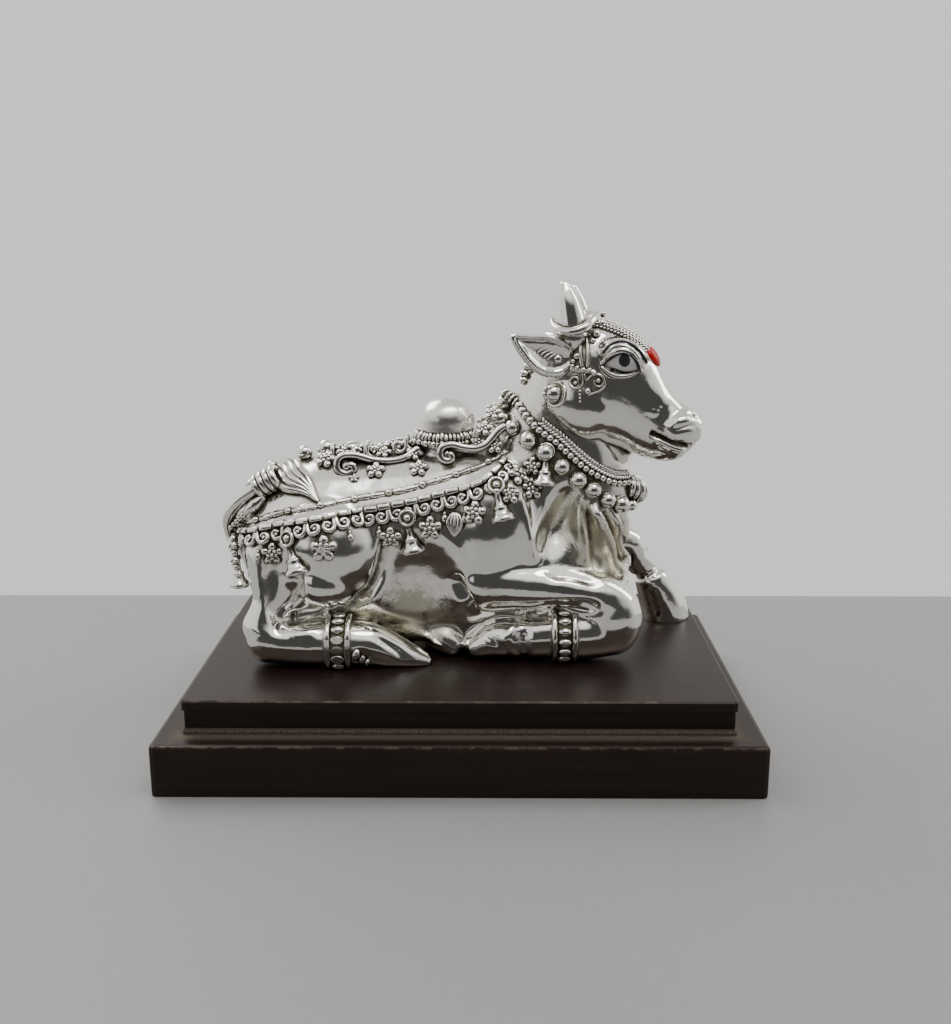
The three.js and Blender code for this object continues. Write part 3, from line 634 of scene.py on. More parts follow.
worked(head, [
    ([(649, 433), (657, 436), (666.4, 440.3), (675.5, 444), (683, 446), (691, 446)], 0.75, -2.3, 0.06),
    ([(650, 430), (656, 432), (664, 435), (673, 439.3), (681, 442)], 0.6, 0.3, 0.25),
    ([(652, 437.7), (660, 440.8), (668, 445), (675, 449), (682, 450.5), (688, 448.5)], 0.8, 0.7, 0.2),
    ([(655, 447), (664, 452), (672, 455)], 2.0, 0.4, 0.3),
    ([(669, 431), (677, 428.6), (686, 425.8), (696, 423.5)], 0.8, -0.5, 0.3),
    ([(672, 424), (680, 421), (688, 419), (694, 419.6)], 1.5, 0.4, 0.35),
    ([(692, 413.5), (695, 415.5), (696.5, 419)], 0.55, -0.65, 0.3),
    ([(685, 414), (688, 411.5), (692, 411)], 0.7, 0.3, 0.35),
    ([(660, 404), (661.5, 410), (660.5, 416), (657, 421)], 0.9, -0.35, 0.35),
    ([(654.5, 407), (653.5, 412), (651.5, 417)], 1.4, 0.3, 0.4),
    ([(640, 379), (650, 388), (661, 399), (669, 409)], 1.6, 0.25, 0.3),
    ([(545, 409), (555, 420), (566, 430), (578, 439.5), (590, 445.5), (606, 448)], 0.9, -0.7, 0.15),
    ([(598, 400), (600, 412), (606, 424), (618, 434)], 2.6, 0.3, 0.4),
], HEAD_MIRROR)
worked(body, [
    ([(505, 470), (514, 488), (521, 508), (526, 528), (530, 546), (534, 562), (540, 576)], 2.3, 1.8, 0.35),
    ([(592, 468), (580, 484), (569, 502), (561, 522), (551, 542), (543, 558), (536, 574)], 3.4, -2.8, 0.4),
    ([(584, 498), (587, 515), (592, 535), (597, 555), (605, 578)], 1.6, -2.1, 0.2),
    ([(600, 506), (607, 522), (613, 540), (616, 556), (624, 572)], 1.2, -2.0, 0.2),
    ([(617, 512), (622, 526), (624, 542), (627, 556), (632, 570)], 1.1, -1.7, 0.2),
    ([(577, 500), (580, 520), (584, 545), (590, 575)], 1.5, 1.2, 0.25),
    ([(591, 502), (600, 520), (607, 538), (611, 556), (619, 573), (628, 586)], 1.2, 2.1, 0.12),
    ([(608, 506), (616, 520), (621, 538), (623, 554), (630, 570)], 1.0, 1.8, 0.15),
    ([(452.5, 572), (457, 582), (462, 593), (469, 604), (478, 615)], 1.5, -2.4, 0.25),
    ([(290, 552), (293, 568), (292, 586), (286, 602), (278, 618), (268, 636)], 3.0, -2.9, 0.3),
    ([(325, 613), (346, 607), (362, 598), (374, 586), (381, 570), (384, 552), (383, 532)], 1.35, -2.5, 0.15),
], MIRROR)
worked(body, [
    ([(541, 577), (560, 575), (580, 578), (604, 586)], 1.5, -0.9, 0.3),
    ([(479, 607), (500, 607), (530, 606.5), (560, 606), (590, 606.5), (604, 609)], 1.3, -2.2, 0.15),
    ([(512, 614), (530, 612.5), (550, 611.5), (575, 611), (604, 612)], 2.0, -2.3, 0.25),
    ([(526, 626), (524, 636), (524, 648), (525, 660)], 1.3, -1.2, 0.25),
    ([(516, 622), (512, 628), (508, 636), (500, 645)], 1.1, 0.6, 0.3),
    ([(481, 632), (492, 640), (504, 650), (512, 660)], 1.0, -0.5, 0.3),
    ([(280, 627), (283, 620), (300, 616.5), (325, 612), (346, 606)], 1.3, -3.0, 0.12),
    ([(352, 655), (360, 659), (371, 662)], 1.7, -1.3, 0.3),
    ([(290, 640), (300, 634), (318, 632)], 1.6, 0.5, 0.3),
    ([(352, 650), (366, 655), (382, 660), (398, 664)], 0.9, -0.5, 0.3),
    ([(372, 634), (384, 642), (398, 652), (408, 662)], 0.9, -0.7, 0.3),
    ([(648, 588), (653, 602), (659, 618)], 0.8, -0.6, 0.25),
    ([(644, 549), (650, 553), (657, 553)], 1.2, -0.7, 0.3),
])
skin = skin_of([body, head])


# ---- ornament units, each made once round its own origin ----

def make_flower(petals=5):
    """An open flower with a second, smaller ring of petals round its eye."""
    parts = []
    for k in range(petals):
        angle = math.tau * k / petals + math.pi / 2
        yaw = math.degrees(angle)
        c, s = math.cos(angle), math.sin(angle)
        parts.append(egg("petal", (2.0 * c, 2.0 * s, 0.6), (1.35, 1.15, 0.95), 14, 8, yaw=yaw))
        c, s = math.cos(angle + math.pi / petals), math.sin(angle + math.pi / petals)
        parts.append(egg("petal", (1.05 * c, 1.05 * s, 1.25), (0.75, 0.62, 0.6), 10, 6, yaw=yaw))
    parts.append(egg("eye", (0, 0, 1.8), (0.6, 0.6, 0.5), 10, 6))
    parts.append(egg("ground", (0, 0, 0.1), (2.2, 2.2, 0.8), 16, 8))
    return merged("flower", parts)


BELL_LENGTH = 8.3
# (height, radius) of the bell, from its loop to its mouth
BELL_PROFILE = [
    (0.3, 0.5), (0, 0.9), (-0.6, 0.95), (-0.9, 0.72), (-2.6, 0.74), (-3.5, 0.9), (-4.2, 1.2),
    (-4.5, 1.65), (-4.8, 1.75), (-5.1, 1.6), (-5.6, 1.75), (-6.4, 2.15), (-6.9, 2.7), (-7.3, 3.0),
    (-7.9, 3.15), (-8.3, 3.05), (-8.3, 2.7), (-7.6, 2.3), (-7.2, 1.2),
]


def make_bell():
    """A flared bell with a knop, hung from its origin, and its clapper."""
    angles = facing(NEARWARD, UP)
    rings = [(vec(0, y, 0), r, r * 0.85, angles) for y, r in BELL_PROFILE]
    parts = [tube("bell", rings, 28), egg("clapper", (0, -7.7, 0), (0.8, 0.9, 0.8), 12, 8)]
    return merged("bell", parts)


def make_disc():
    """A ringed stud from which a bell hangs."""
    parts = [ring("rim", (0, 0, 0.7), 1.75, 0.38, around=24),
             egg("dome", (0, 0, 0.5), (1.0, 1.0, 0.95), 16, 10),
             egg("plate", (0, 0, 0.1), (1.9, 1.9, 0.7), 20, 8)]
    return merged("disc", parts)


def make_scroll():
    """A wire coiled round a bud, for the lower row of the border."""
    path = [
        (1.5, 1.7, 0.25, 0.95), (1.5, 0.5, 0.35, 1.0), (1.3, -0.7, 0.4, 1.0), (0.45, -1.5, 0.45, 1.05),
        (-0.75, -1.35, 0.45, 1.05), (-1.4, -0.4, 0.45, 1.0), (-1.1, 0.6, 0.45, 0.95),
        (-0.2, 0.8, 0.5, 0.85), (0.35, 0.2, 0.55, 0.75),
    ]
    return merged("scroll", [wire("wire", path, 0.6), ball("bud", (-0.35, -0.3, 0.6), 0.55, 10, 6)])


def make_bar():
    """A bar of the border's upper row, with rounded edges."""
    deselect()
    bpy.ops.mesh.primitive_cube_add(size=1, scale=vec(3.25, 1.5, 1.7) * MM)
    bar = settle(bpy.context.object, "bar")
    apply(bar, "BEVEL", width=0.34 * MM, segments=2)
    return bar


def make_drop():
    """A pointed drop."""
    parts = [egg("drop", (0, -0.4, 0.35), (0.8, 1.15, 0.7), 12, 8),
             egg("tip", (0, 0.8, 0.35), (0.45, 0.8, 0.45), 8, 6)]
    return merged("drop", parts)


def make_leaf():
    """A ribbed leaf, drawn together at its tip."""
    parts = [egg("ground", (0, 0, 0.2), (2.4, 3.3, 1.0), 20, 12)]
    for k in range(-2, 3):
        path = [(k * 0.35, 2.9, 0.4), (k * 0.95, 1.2, 1.0), (k * 1.0, -0.6, 1.1), (k * 0.45, -2.6, 0.7),
                (0, -3.7, 0.4, 0.6)]
        parts.append(wire("rib", path, 0.42))
    return merged("leaf", parts)


flower_unit = make_flower()
bell_unit = make_bell()
disc_unit = make_disc()
scroll_unit = make_scroll()
bar_unit = make_bar()
drop_unit = make_drop()
leaf_unit = make_leaf()
bead_unit = ball("bead", (0, 0, 0), 1, 12, 8)
grain_unit = egg("grain", (0, 0, 0), (0.42, 0.95, 0.5), 10, 8)
ball_unit = ball("ball", (0, 0, 0), 1, 32, 20)
silver_pieces = [body, head]


def made(piece):
    """Counts a piece among those of the plated casting."""
    silver_pieces.append(piece)
    return piece


def made_of(name, parts):
    """One finished piece of the casting from parts that have no mirror image."""
    return made(finished(merged(name, parts), name))


def set_on(unit, seat, lift=0.0, size=1.0):
    """A copy of a unit on a seat of the skin, upright."""
    return stand(unit, *seat, UP, lift, size)


# ---- cloth border, cord, bells and pendants ----

# Rows of (x, z) on the flank; BAR_PITCH and CORD_PITCH are the spaces of what repeats
BAR_PITCH = 3.7
CORD_PITCH = 9.2
BORDER = [(-58, 56), (-53, 57.4), (-43, 59.8), (-31.5, 62), (-23, 62.4), (-11, 64.6), (-6, 66), (2, 68),
          (7, 70.2), (10, 72.5), (13.5, 76)]
CORD = [(-59.5, 59.4), (-57, 60.2), (-48, 63.3), (-37, 65.6), (-26, 67.2), (-15, 69), (-5, 71.7), (5.3, 75),
        (12, 78.3)]


def height_at(line, x):
    return float(np.interp(x, [row[0] for row in line], [row[1] for row in line]))


def border_seats():
    seats = [rump(-y, 55.4) for y in np.linspace(0, 11, 8)]
    return seats + [flank(x, height_at(BORDER, x)) for x in np.linspace(-57.5, 13.5, 60)]


def upward(out, way):
    """The way across a line on the skin that points up."""
    up = out.cross(way).normalized()
    return up if up.z > 0 else -up


def make_border():
    """A row of bars over a row of paired scrolls, with a bead between the pairs."""
    seats = border_seats()
    parts = []
    for place, out, way in walk(seats, BAR_PITCH, 1.9):
        up = upward(out, way)
        parts.append(stand(bar_unit, place + up * 2.0, out, up, 0.85))
    for start, flip in ((0.9, True), (4.8, False)):
        for place, out, way in walk(seats, 2 * BAR_PITCH, start):
            up = upward(out, way)
            parts.append(stand(scroll_unit, place - up * 0.35, out, up, 0.45, flip=flip))
    for place, out, _ in walk(seats, 2 * BAR_PITCH, 6.6):
        parts.append(stand(bead_unit, place - UP * 1.2, out, UP, 0.4, 0.7))
    made(both("cloth_border", parts))


def make_cord():
    """A cord drawn in between its knots, with a bead at every knot."""
    seats = dense([flank(x, height_at(CORD, x)) for x in np.linspace(-59.5, 12, 30)], 2)
    total = sum((q[0] - p[0]).length for p, q in zip(seats, seats[1:]))

    def wave(share):
        t = (share * total / CORD_PITCH) % 1
        half = abs(t - 0.5)
        return 0.62 if half < 0.03 or half > 0.42 else 1.25 - 1.2 * abs(half - 0.1)

    fine = [(place, out) for place, out, _ in walk(seats, 0.55)]
    parts = [on_skin("strand", fine, 0.74, 0.72, 8, 0.1, wave)]
    for start, lift, size in ((0, 0.35, 0.98), (CORD_PITCH / 2, 0.15, 0.72)):
        for place, out, _ in walk(seats, CORD_PITCH, start):
            parts.append(stand(bead_unit, place, out, UP, lift, size))
    made(both("bead_knotted_cord", parts))


# ((x, z) of the stud, (x, z) of the bell's mouth), (x, z, size) of a flower, (x, z) of a drop
BELLS = [((-44.3, 57.6), (-42.4, 48.6)), ((-14, 62.2), (-12.6, 53.2)), ((9.3, 70.6), (11.3, 62.2)),
         ((22.6, 79.2), (21.8, 70.4))]
FLOWERS = [(-49.4, 53.4, 0.95), (-35.2, 55.8, 1.1), (-18.4, 57.4, 0.95), (-8.0, 59.8, 1.0), (3.8, 64.0, 1.0),
           (15.0, 72.8, 1.05), (18.6, 69.4, 0.95), (13.0, 68.8, 0.85), (19.0, 75.0, 0.85)]
DROPS = [(-53.0, 53.0), (-28.7, 58.6), (-21.4, 58.8), (-4.2, 62.6), (1.2, 62.6)]


def make_pendants():
    """Bells hung from studs so that they clear the flank, with flowers and drops between them."""
    bells, rest = [], []
    for (x, z), (low_x, low_z) in BELLS:
        top, out = flank(x, z)
        rest.append(set_on(disc_unit, (top, out), 0.7, 1.1))
        start = top + out * 1.0 - UP * 0.9
        down = vec(low_x - start.x, 0, low_z - start.z)
        size = down.length / BELL_LENGTH
        lean = min((flank(start.x + down.x * t, start.z + down.z * t)[0].y - radius * size - start.y) / t
                   for t, radius in ((0.4, 0.4), (0.6, 0.8), (0.8, 1.0), (0.95, 1.5)))
        down.y = max(lean, -0.2 * size * BELL_LENGTH)
        start.y += max((lean - down.y) * 0.6, -1.6)
        up = -down.normalized()
        bells.append(stand(bell_unit, start, (NEARWARD - up * NEARWARD.dot(up)).normalized(), up, 0, size))
    rest += [set_on(flower_unit, flank(x, z), 0.1, size) for x, z, size in FLOWERS]
    rest += [set_on(drop_unit, flank(x, z), 0.1) for x, z in DROPS]
    rest.append(set_on(leaf_unit, flank(-1.5, 61.0), 0.2, 0.9))
    outward = vec(-1, -0.35, 0).normalized()
    rest.append(set_on(flower_unit, (vec(-60.6, -11.4, 53.4), outward), 0, 0.95))
    rest.append(set_on(flower_unit, (vec(-60.2, -12.6, 49.6), outward), 0, 0.85))
    bells.append(set_on(bell_unit, (vec(-60.2, -11.6, 50.6), outward)))
    made(both("bells", bells))
    made(both("flower_pendants", rest))


make_border()
make_cord()
make_pendants()


# ---- neck strings ----

# (x, z, radius) of a bead, (pixel, y, radius, way) of a roll, and (x, z) along the beaded rope
BEAD_PITCH = 1.75
NECK_BEADS = [(14.1, 84.6, 2.1), (18.0, 81.8, 2.4), (22.3, 78.8, 2.4), (26.5, 75.2, 2.2), (30.8, 71.9, 2.35),
              (34.7, 69.1, 2.2), (38.4, 66.3, 2.1), (42.0, 64.7, 2.3), (45.2, 63.6, 1.6)]
CLASP_ROLLS = [(629.5, 486.6, 5.4, 2.3, (1, 0.3, -0.15)), (632, 488, 4.6, 2.6, (1, 0.5, -0.15)),
               (634.2, 489.4, 3.4, 2.8, (0.8, 0.9, -0.1)), (635, 490.3, 1.8, 2.9, (0.4, 1, -0.05))]
ROPE = [(15.7, 90.2), (18.5, 86.8), (21.1, 84.3), (25, 81.4), (30, 76.9), (34.8, 73.3), (40.3, 70.6),
        (44.6, 70.0)]


def make_neck():
    """A string of large beads below a beaded rope, and the clasp in front of the throat."""
    parts = [set_on(ball_unit, flank(x, z), radius * 0.45, radius) for x, z, radius in NECK_BEADS]
    parts += [set_on(ball_unit, (vec(*place), NEARWARD), 0, 2.3)
              for place in [(8.4, -6.6, 80.8), (10.4, -3.6, 86.6)]]
    made(both("large_neck_beads", parts))
    middle = [set_on(ball_unit, (vec(*place), NEARWARD), 0, radius)
              for place, radius in [((11.6, 0, 90.4), 2.3), ((46.6, 0, 63.4), 2.2)]]
    made_of("middle_neck_beads", middle)
    rope = dense([flank(x, z) for x, z in ROPE], 6)
    parts = []
    for i, (place, out, _) in enumerate(walk(rope, BEAD_PITCH)):
        parts.append(stand(bead_unit, place, out, UP, 0.45, 1.15 - 0.012 * i))
    for offset, slant in ((1.5, 38), (2.5, -38)):
        parts += braid(grain_unit, rope, offset, slant, 0.35, 1.05, 8)
    for i, x in enumerate(np.linspace(11.6, 15.4, 5)):
        parts.append(ring("coil", (x, -1.2 - 0.7 * i, 93.4 - 0.75 * i), 1.15, 0.35, (1, -0.3, -0.8), 16, 6))
    made(both("bead_rope", parts))
    boss = [egg("boss", (44.4, 0, 68.4), (2.4, 5.2, 2.8))]
    for px, py, y, radius, way in CLASP_ROLLS:
        place = at_plane(px, py, -y)
        for side in SIDES:
            turned = (way[0], -side * way[1], way[2])
            boss.append(ring("roll", (place.x, side * y, place.z), radius, 0.75, turned, 32, 10))
    boss.append(ring("roll", (44.8, 0, 68.4), 2.9, 0.75, (0, 1, 0), 32, 10))
    made_of("collar_clasp", boss)


make_neck()


# ---- along the back ----

def ribbon(path):
    """A flat ribbon with raised edges, its path given by pixels and by y."""
    line = [Vector(row) for row in smooth_line([tuple(at_plane(*spot)) for spot in path], 4)]
    parts = []
    for offset, breadth, height in ((0, 1.5, 0.6), (-1.4, 0.5, 0.85), (1.4, 0.5, 0.85)):
        rings = []
        for i, point in enumerate(line):
            way = way_at(line, i)
            side = vec(0, -0.93, 0.37)
            side = (side - way * side.dot(way)).normalized()
            rings.append((point + side * offset, breadth, height, facing(way, way.cross(side))))
        parts.append(tube("ribbon", domed(rings, 0.5), 10))
    return parts


REAR_RIBBON = [
    (349, 466, -7.5), (353, 466, -7.5), (354, 471, -7.6), (347, 474.5, -7.8), (339, 471, -7.8),
    (337.5, 463, -7.5), (342, 457, -7), (350, 455.5, -6.6), (360, 457, -6), (373, 460.5, -5.6),
    (390, 461.5, -5.4), (404, 459, -5), (413, 454, -4.6), (420, 449, -4.4),
]
FRONT_RIBBON = [
    (449, 455, -8.8), (451.5, 456, -8.8), (451.5, 459.5, -8.9), (447, 461.5, -9.2),
    (441.5, 458.5, -9.2), (440.5, 451.5, -9), (444.5, 447, -8.8), (453, 445.5, -8.6), (463, 448, -8.6),
    (475, 449, -8.6), (485, 446, -8.6), (492, 439, -8), (499, 431, -7.4), (505, 427, -7),
]
COLLAR_LEAVES = 24


def make_back():
    """Curled ribbons, flowers, scrolls and balls along the back, and the collar of the hump."""
    parts = ribbon(REAR_RIBBON) + ribbon(FRONT_RIBBON)
    for px, py, y, radius in [(346.5, 466.5, -7.8, 1.5), (447, 454.5, -9, 1.4)]:
        parts.append(ball("curl_ball", at_plane(px, py, y), radius))
    made(both("back_ribbons", parts))
    near = [set_on(flower_unit, flank(x, z), 0.2, size)
            for x, z, size in [(-22.8, 73.2, 0.8), (-11.2, 73.9, 0.8), (-28.4, 71.6, 0.4)]]
    for x, y, size in [(-36.4, -4.9, 0.9), (-21, -2.4, 0.7), (-12.6, -4.6, 0.75), (-29.5, -3, 0.7)]:
        place, out = back(x, y)
        near.append(stand(flower_unit, place, (out + NEARWARD * 0.4).normalized(), FORWARD, 0.8, size))
    for i, angle in enumerate(np.linspace(0, math.pi, COLLAR_LEAVES)):
        out = vec(-math.cos(angle), -math.sin(angle), 0)
        spot = vec(-4.5, 0, 82.1 + 0.15 * math.sin(4.1 * i)) + out * (8.0 + 0.12 * math.sin(2.7 * i))
        near.append(stand(grain_unit, spot, (out + UP * 0.5).normalized(), (UP - out * 0.5).normalized(), 0,
                          1.35 + 0.12 * math.sin(5.3 * i)))
        near.append(stand(bead_unit, spot + out * 0.5 - UP * 1.6, out, UP, 0, 0.6 + 0.25 * (i % 2)))
    for x, height, size, flip in [
            (-33.4, 76.6, 1.15, True), (-27.6, 77.4, 1.0, False), (-24, 77.6, 1.1, True),
            (-16.6, 79, 1.1, False), (-13.4, 79.6, 1.0, True)]:
        out = vec(0, -1, 0.25).normalized()
        near.append(stand(scroll_unit, vec(x, -2.2, height), out, UP, 0, size, flip))
    for place, out, size in [
            ((4.4, -6.4, 80.2), (-0.3, -0.6, 0.7), 0.8), ((6.2, -5.6, 84), (-0.3, -0.6, 0.7), 0.8),
            ((8.6, -4, 88), (-0.3, -0.6, 0.7), 0.75), ((8.9, -8.6, 80), (0, -0.8, 0.6), 0.7)]:
        near.append(set_on(flower_unit, (vec(*place), vec(*out).normalized()), 0, size))
    made(both("back_flowers", near))
    middle = [stand(ball_unit, back(x, 0)[0], UP, FORWARD, radius * 0.8, radius)
              for x, radius in [(-43, 2.2), (-37, 2.6), (-29, 1.7), (-22, 1.7), (-15.5, 1.7)]]
    middle += [stand(flower_unit, back(x, 0)[0], UP, FORWARD, 1.6, size)
               for x, size in [(-32.5, 0.8), (-25.5, 0.9), (-18.8, 0.9), (-12.8, 0.7)]]
    made_of("ridge_balls", middle)


make_back()


# ---- tail ----

def make_tail():
    """The tail laid over the rump, with its wraps, its tuft and a hanging string."""
    path = [(231, 533, -6), (228, 523, -8.4), (231, 512, -10.2), (240, 501, -11.4), (251, 492, -12),
            (262, 485, -12)]
    parts = [limb("tail", [(*at_plane(*spot), 1.8, 1.8) for spot in path], 24, out=(0, -1, 0))]
    for px, py in [(259.5, 486), (265, 482.6), (270.5, 479.4), (276, 476.4)]:
        parts.append(ring("wrap", at_plane(px, py, -10.8), 2.65, 0.95, (0.87, -0.1, 0.49), 32, 10))
    middle = seats_at([(277, 470), (284, 473.5), (292, 479), (300, 484.5), (309, 492), (318.5, 503)])
    line = [place for place, _ in middle]
    for k in range(-2, 3):
        # the strands spread and stand out over the tuft's middle, and come together at its tip
        strand = []
        for i, (place, out) in enumerate(middle):
            t = i / (len(middle) - 1)
            across = out.cross(way_at(line, i)).normalized()
            spread = 1.75 * k * (0.4 + 0.75 * math.sin(math.pi * min(t * 1.15, 1) ** 0.8)) * (1 - t ** 3)
            spread += 0.85 * math.sin(math.tau * 1.4 * t + 0.4 * k) * (1 - t)
            bulge = 1.2 * math.sin(math.pi * t ** 0.8) * (1 - (k / 3.2) ** 2)
            spot, normal, _, _ = skin.find_nearest(place + across * spread)
            strand.append((spot + normal * (0.5 + 1.25 * bulge), normal))
        parts.append(on_skin("strand", strand, 0.95, 1.2, 10, 0,
                             lambda t: 0.75 + 0.5 * math.sin(math.pi * t ** 0.7) - 0.45 * t ** 2))
    parts.append(limb("almond", [(-52.9, -12.2, 67.0, 1.3, 1.2), (-54.6, -12.6, 65.2, 1.9, 1.8),
                                 (-56.4, -12.8, 63.6, 1.5, 1.4), (-57.4, -12.8, 62.7, 0.8, 0.8)], 16))
    for i in range(5):
        place = (-58.0 - 0.95 * i, -12.4 + 0.45 * i, 62.2 - 0.95 * i)
        parts.append(ball("bulb", place, 1.05 - 0.08 * i, 14, 10))
    for *spot, radius in [(244, 495, -3, 1.4), (251, 484, -2, 1.4), (272, 466, -3, 1.7), (236, 505, -4, 1.1)]:
        parts.append(ball("ball", at_plane(*spot), radius))
    made_of("tail", parts)


make_tail()


# ---- anklets ----

def make_anklet(name, x, y, z, radius, half=2.7, beads=16):
    """A band with two round edges and a row of oval beads between them."""
    ends = [(x + shift, y, z, radius + 0.2, radius + 0.2) for shift in (-half, half)]
    parts = [limb("band", ends, 48, 1, 0.05)]
    for shift in (-half, half):
        parts.append(ring("edge", (x + shift, y, z), radius + 0.45, 0.75, (1, 0, 0), 56, 12))
    bead = egg("bead", (0, 0, 0), (1.75, 1.15, 1.0), 20, 12)
    for k in range(beads):
        angle = math.tau * k / beads
        out = vec(0, math.cos(angle), math.sin(angle))
        parts.append(stand(bead, vec(x, y, z), out, vec(0, -out.z, out.y), radius + 0.55))
    drop_units([bead])
    made_of(name, parts)


def make_dewclaws():
    """Three small claws behind the near hind hoof, each smaller than the last."""
    parts = []
    for px, py, radius in [(355.5, 654, 1.5), (362, 658.5, 1.25), (367.5, 662, 0.9)]:
        place, out = seen(px, py)
        sizes = (radius * 0.8, radius, radius * 1.2)
        parts.append(egg("claw", place + out * 0.1, sizes, 20, 12, pitch=20))
    made_of("dewclaws", parts)


make_dewclaws()
make_anklet("hind_anklet", -32.5, -18, 28.6, 6.5)
make_anklet("fore_anklet", 27.6, -13.6, 29.4, 6.7)


# ---- the head's own ornaments ----

def head_point(along, aside, height):
    """A place on the turned head, from where it was in the head's own plane."""
    return through(HEAD, vec(along, aside, height))


# (along, aside, height, radius) before the head is turned, and (pixel, aside, radius)
HORN = [(6.0, 7, 107.5, 4.5), (5.8, 7, 110.5, 4.3), (5.3, 7, 113.5, 3.85), (4.7, 7, 116.6, 3.3),
        (4.1, 6.9, 119.4, 2.45), (3.7, 6.8, 121.3, 1.5)]
HORN_COLLAR = [
    (551.5, 318, 7.6, 0.5), (553, 324.5, 9.6, 0.8), (558.5, 329.5, 11.0, 1.0), (567, 332, 11.7, 1.15),
    (576, 331.2, 11.7, 1.2), (585, 327.2, 10.9, 1.15), (592, 320.5, 9.0, 1.0), (597, 313.5, 6.6, 0.75),
]


def make_horns():
    """Short upright horns, each with a thick roll round its foot."""
    parts = []
    for side, shift, drop, slim in ((-1, 0, 0, 1), (1, -0.3, 0.35, 0.93)):
        stations = [(x + shift, side * y, z - drop, r * slim, r * slim) for x, y, z, r in HORN]
        horn = limb("horn", stations, 32, 4, 0.9, (1, 0, 0))
        horn.data.transform(HEAD)
        parts.append(horn)
    out = (HEAD.to_3x3() @ vec(0, -1, 0.25)).normalized()
    rows = [(*at_face(px, py, head_point(5.2, -aside, 109.5), out), radius, radius)
            for px, py, aside, radius in HORN_COLLAR]
    collar = limb("collar", rows, 16, 4, 0.8, (0, -0.3, 1))
    parts += [collar, copied(collar, HEAD_MIRROR),
              egg("poll", at_plane(589, 318.5, 0.5), (3.3, 4.4, 2.5), 32, 20)]
    for side in SIDES:
        back_roll = ring("roll", (5.6, side * 7, 109.4), 4.3, 0.9, (0.15, 0, 1), 40, 12)
        back_roll.data.transform(HEAD)
        parts.append(back_roll)
    made_of("horns", parts)


# The near ear's outline in pixels, and how deep its face lies by the distance from its edge
EAR_EDGE = [
    (571, 345), (565, 340.5), (558, 337), (547, 334.4), (538, 334.2), (530, 334.2), (522, 333.6),
    (516, 333), (511.5, 334.6), (510.6, 339), (513, 345), (519, 354.5), (526, 363.8), (533.8, 371.6),
    (543.8, 377), (555, 378.6), (564, 376), (571, 370.5),
]
EAR_REACH = [0.3, 0.75, 1.1, 1.55, 1.95, 2.6, 4.2, 6.0]
EAR_DEPTH = [0, 0.05, 0.55, 0.45, 0.95, 1.5, 2.2, 2.4]


def make_ears():
    """Leaf-shaped ears with a raised edge, hollowed towards the root, and fine strokes inside."""
    place = head_point(4.5, -11.4, 104)
    tip = head_point(-7, -19.6, 107.5)
    up = HEAD_UP
    out = up.cross(tip - place).normalized()
    along = up.cross(out).normalized()
    edge = np.array([np.array(at_face(px, py, place, out)) for px, py in EAR_EDGE])
    flat = np.array([[(Vector(point) - place).dot(along), (Vector(point) - place).dot(up)] for point in edge])
    half = len(flat) // 2
    rings = []
    top, low = smooth_line(flat[:half], 4), smooth_line(flat[::-1][:half], 4)
    for a, b, thick in zip(top, low, np.linspace(1, 0, len(top))):
        middle = (a + b) / 2
        centre = place + along * middle[0] + up * middle[1] - out * 0.4
        tilt = Vector(along * (a - b)[0] + up * (a - b)[1])
        way = tilt.cross(out).normalized()
        rings.append((centre, 0.5 + 1.5 * thick ** 0.7, tilt.length / 2, facing(way, tilt.normalized())))
    ear = tube("ear", rings, 40)
    apply(ear, "REMESH", mode="VOXEL", voxel_size=0.24 * MM)
    apply(ear, "SMOOTH", factor=0.5, iterations=5)
    co, normals = points_of(ear)
    place, along, up, out = (np.array(v) for v in (place, along, up, out))
    spot = np.stack([(co - place) @ along, (co - place) @ up], 1)
    inside = reach_to_line(np.c_[spot, np.zeros(len(spot))], np.c_[flat, np.zeros(len(flat))])[0]
    front = np.clip(((co - place) @ out + 0.3) / 0.5, 0, 1) * np.clip((normals @ out - 0.1) / 0.3, 0, 1)
    depth = (np.interp(inside, EAR_REACH, EAR_DEPTH)
             * np.interp(spot[:, 0], [-16, -12, -6, 0, 1.5], [0.5, 0.75, 1, 1, 0.8]))
    co -= out * (depth * front)[:, None]
    set_points(ear, co)
    apply(ear, "SMOOTH", factor=0.4, iterations=2)
    parts = [ear]
    bowl = Vector(place) - Vector(out) * 1.5
    for px, py, radius in [(557.5, 359, 1.5), (560.5, 365, 0.9), (553, 364.5, 0.7)]:
        parts.append(ball("ear_ball", at_face(px, py, bowl, Vector(out)), radius))
    for k in range(6):
        path = [(531 + 3.2 * k, 348 + 2.4 * k), (536 + 3.2 * k, 345 + 2.2 * k), (541 + 3 * k, 344.5 + 2 * k)]
        path = [tuple(at_face(px, py, bowl + Vector(out) * 0.5, Vector(out))) for px, py in path]
        parts.append(wire("hatch", path, 0.3, 6, 3))
    made(both("ears", parts, HEAD_MIRROR))


def make_garland():
    """The woven garland over the forehead, down to the mark."""
    line = [(7.5, -4.0, 113.2), (12.5, -3.9, 112.4), (17, -3.4, 110.6), (21.2, -2.6, 107.6),
            (24.6, -1.8, 104.6)]
    fine = dense([(head_point(*point), UP) for point in line], 8)
    parts = [on_skin("band", fine, 1.75, 0.55, 12)]
    for offset, slant in [(-1.1, 38), (0.1, -38), (1.2, 38)]:
        parts += braid(grain_unit, fine, offset, slant, 0.6)
    for offset, lift, size in [(1.95, 0.4, 0.5), (-1.95, 0.3, 0.45)]:
        parts += braid(bead_unit, fine, offset, 0, lift, size)
    parts.append(set_on(ball_unit, seen(601.5, 325), 0.5, 1.1))
    return parts


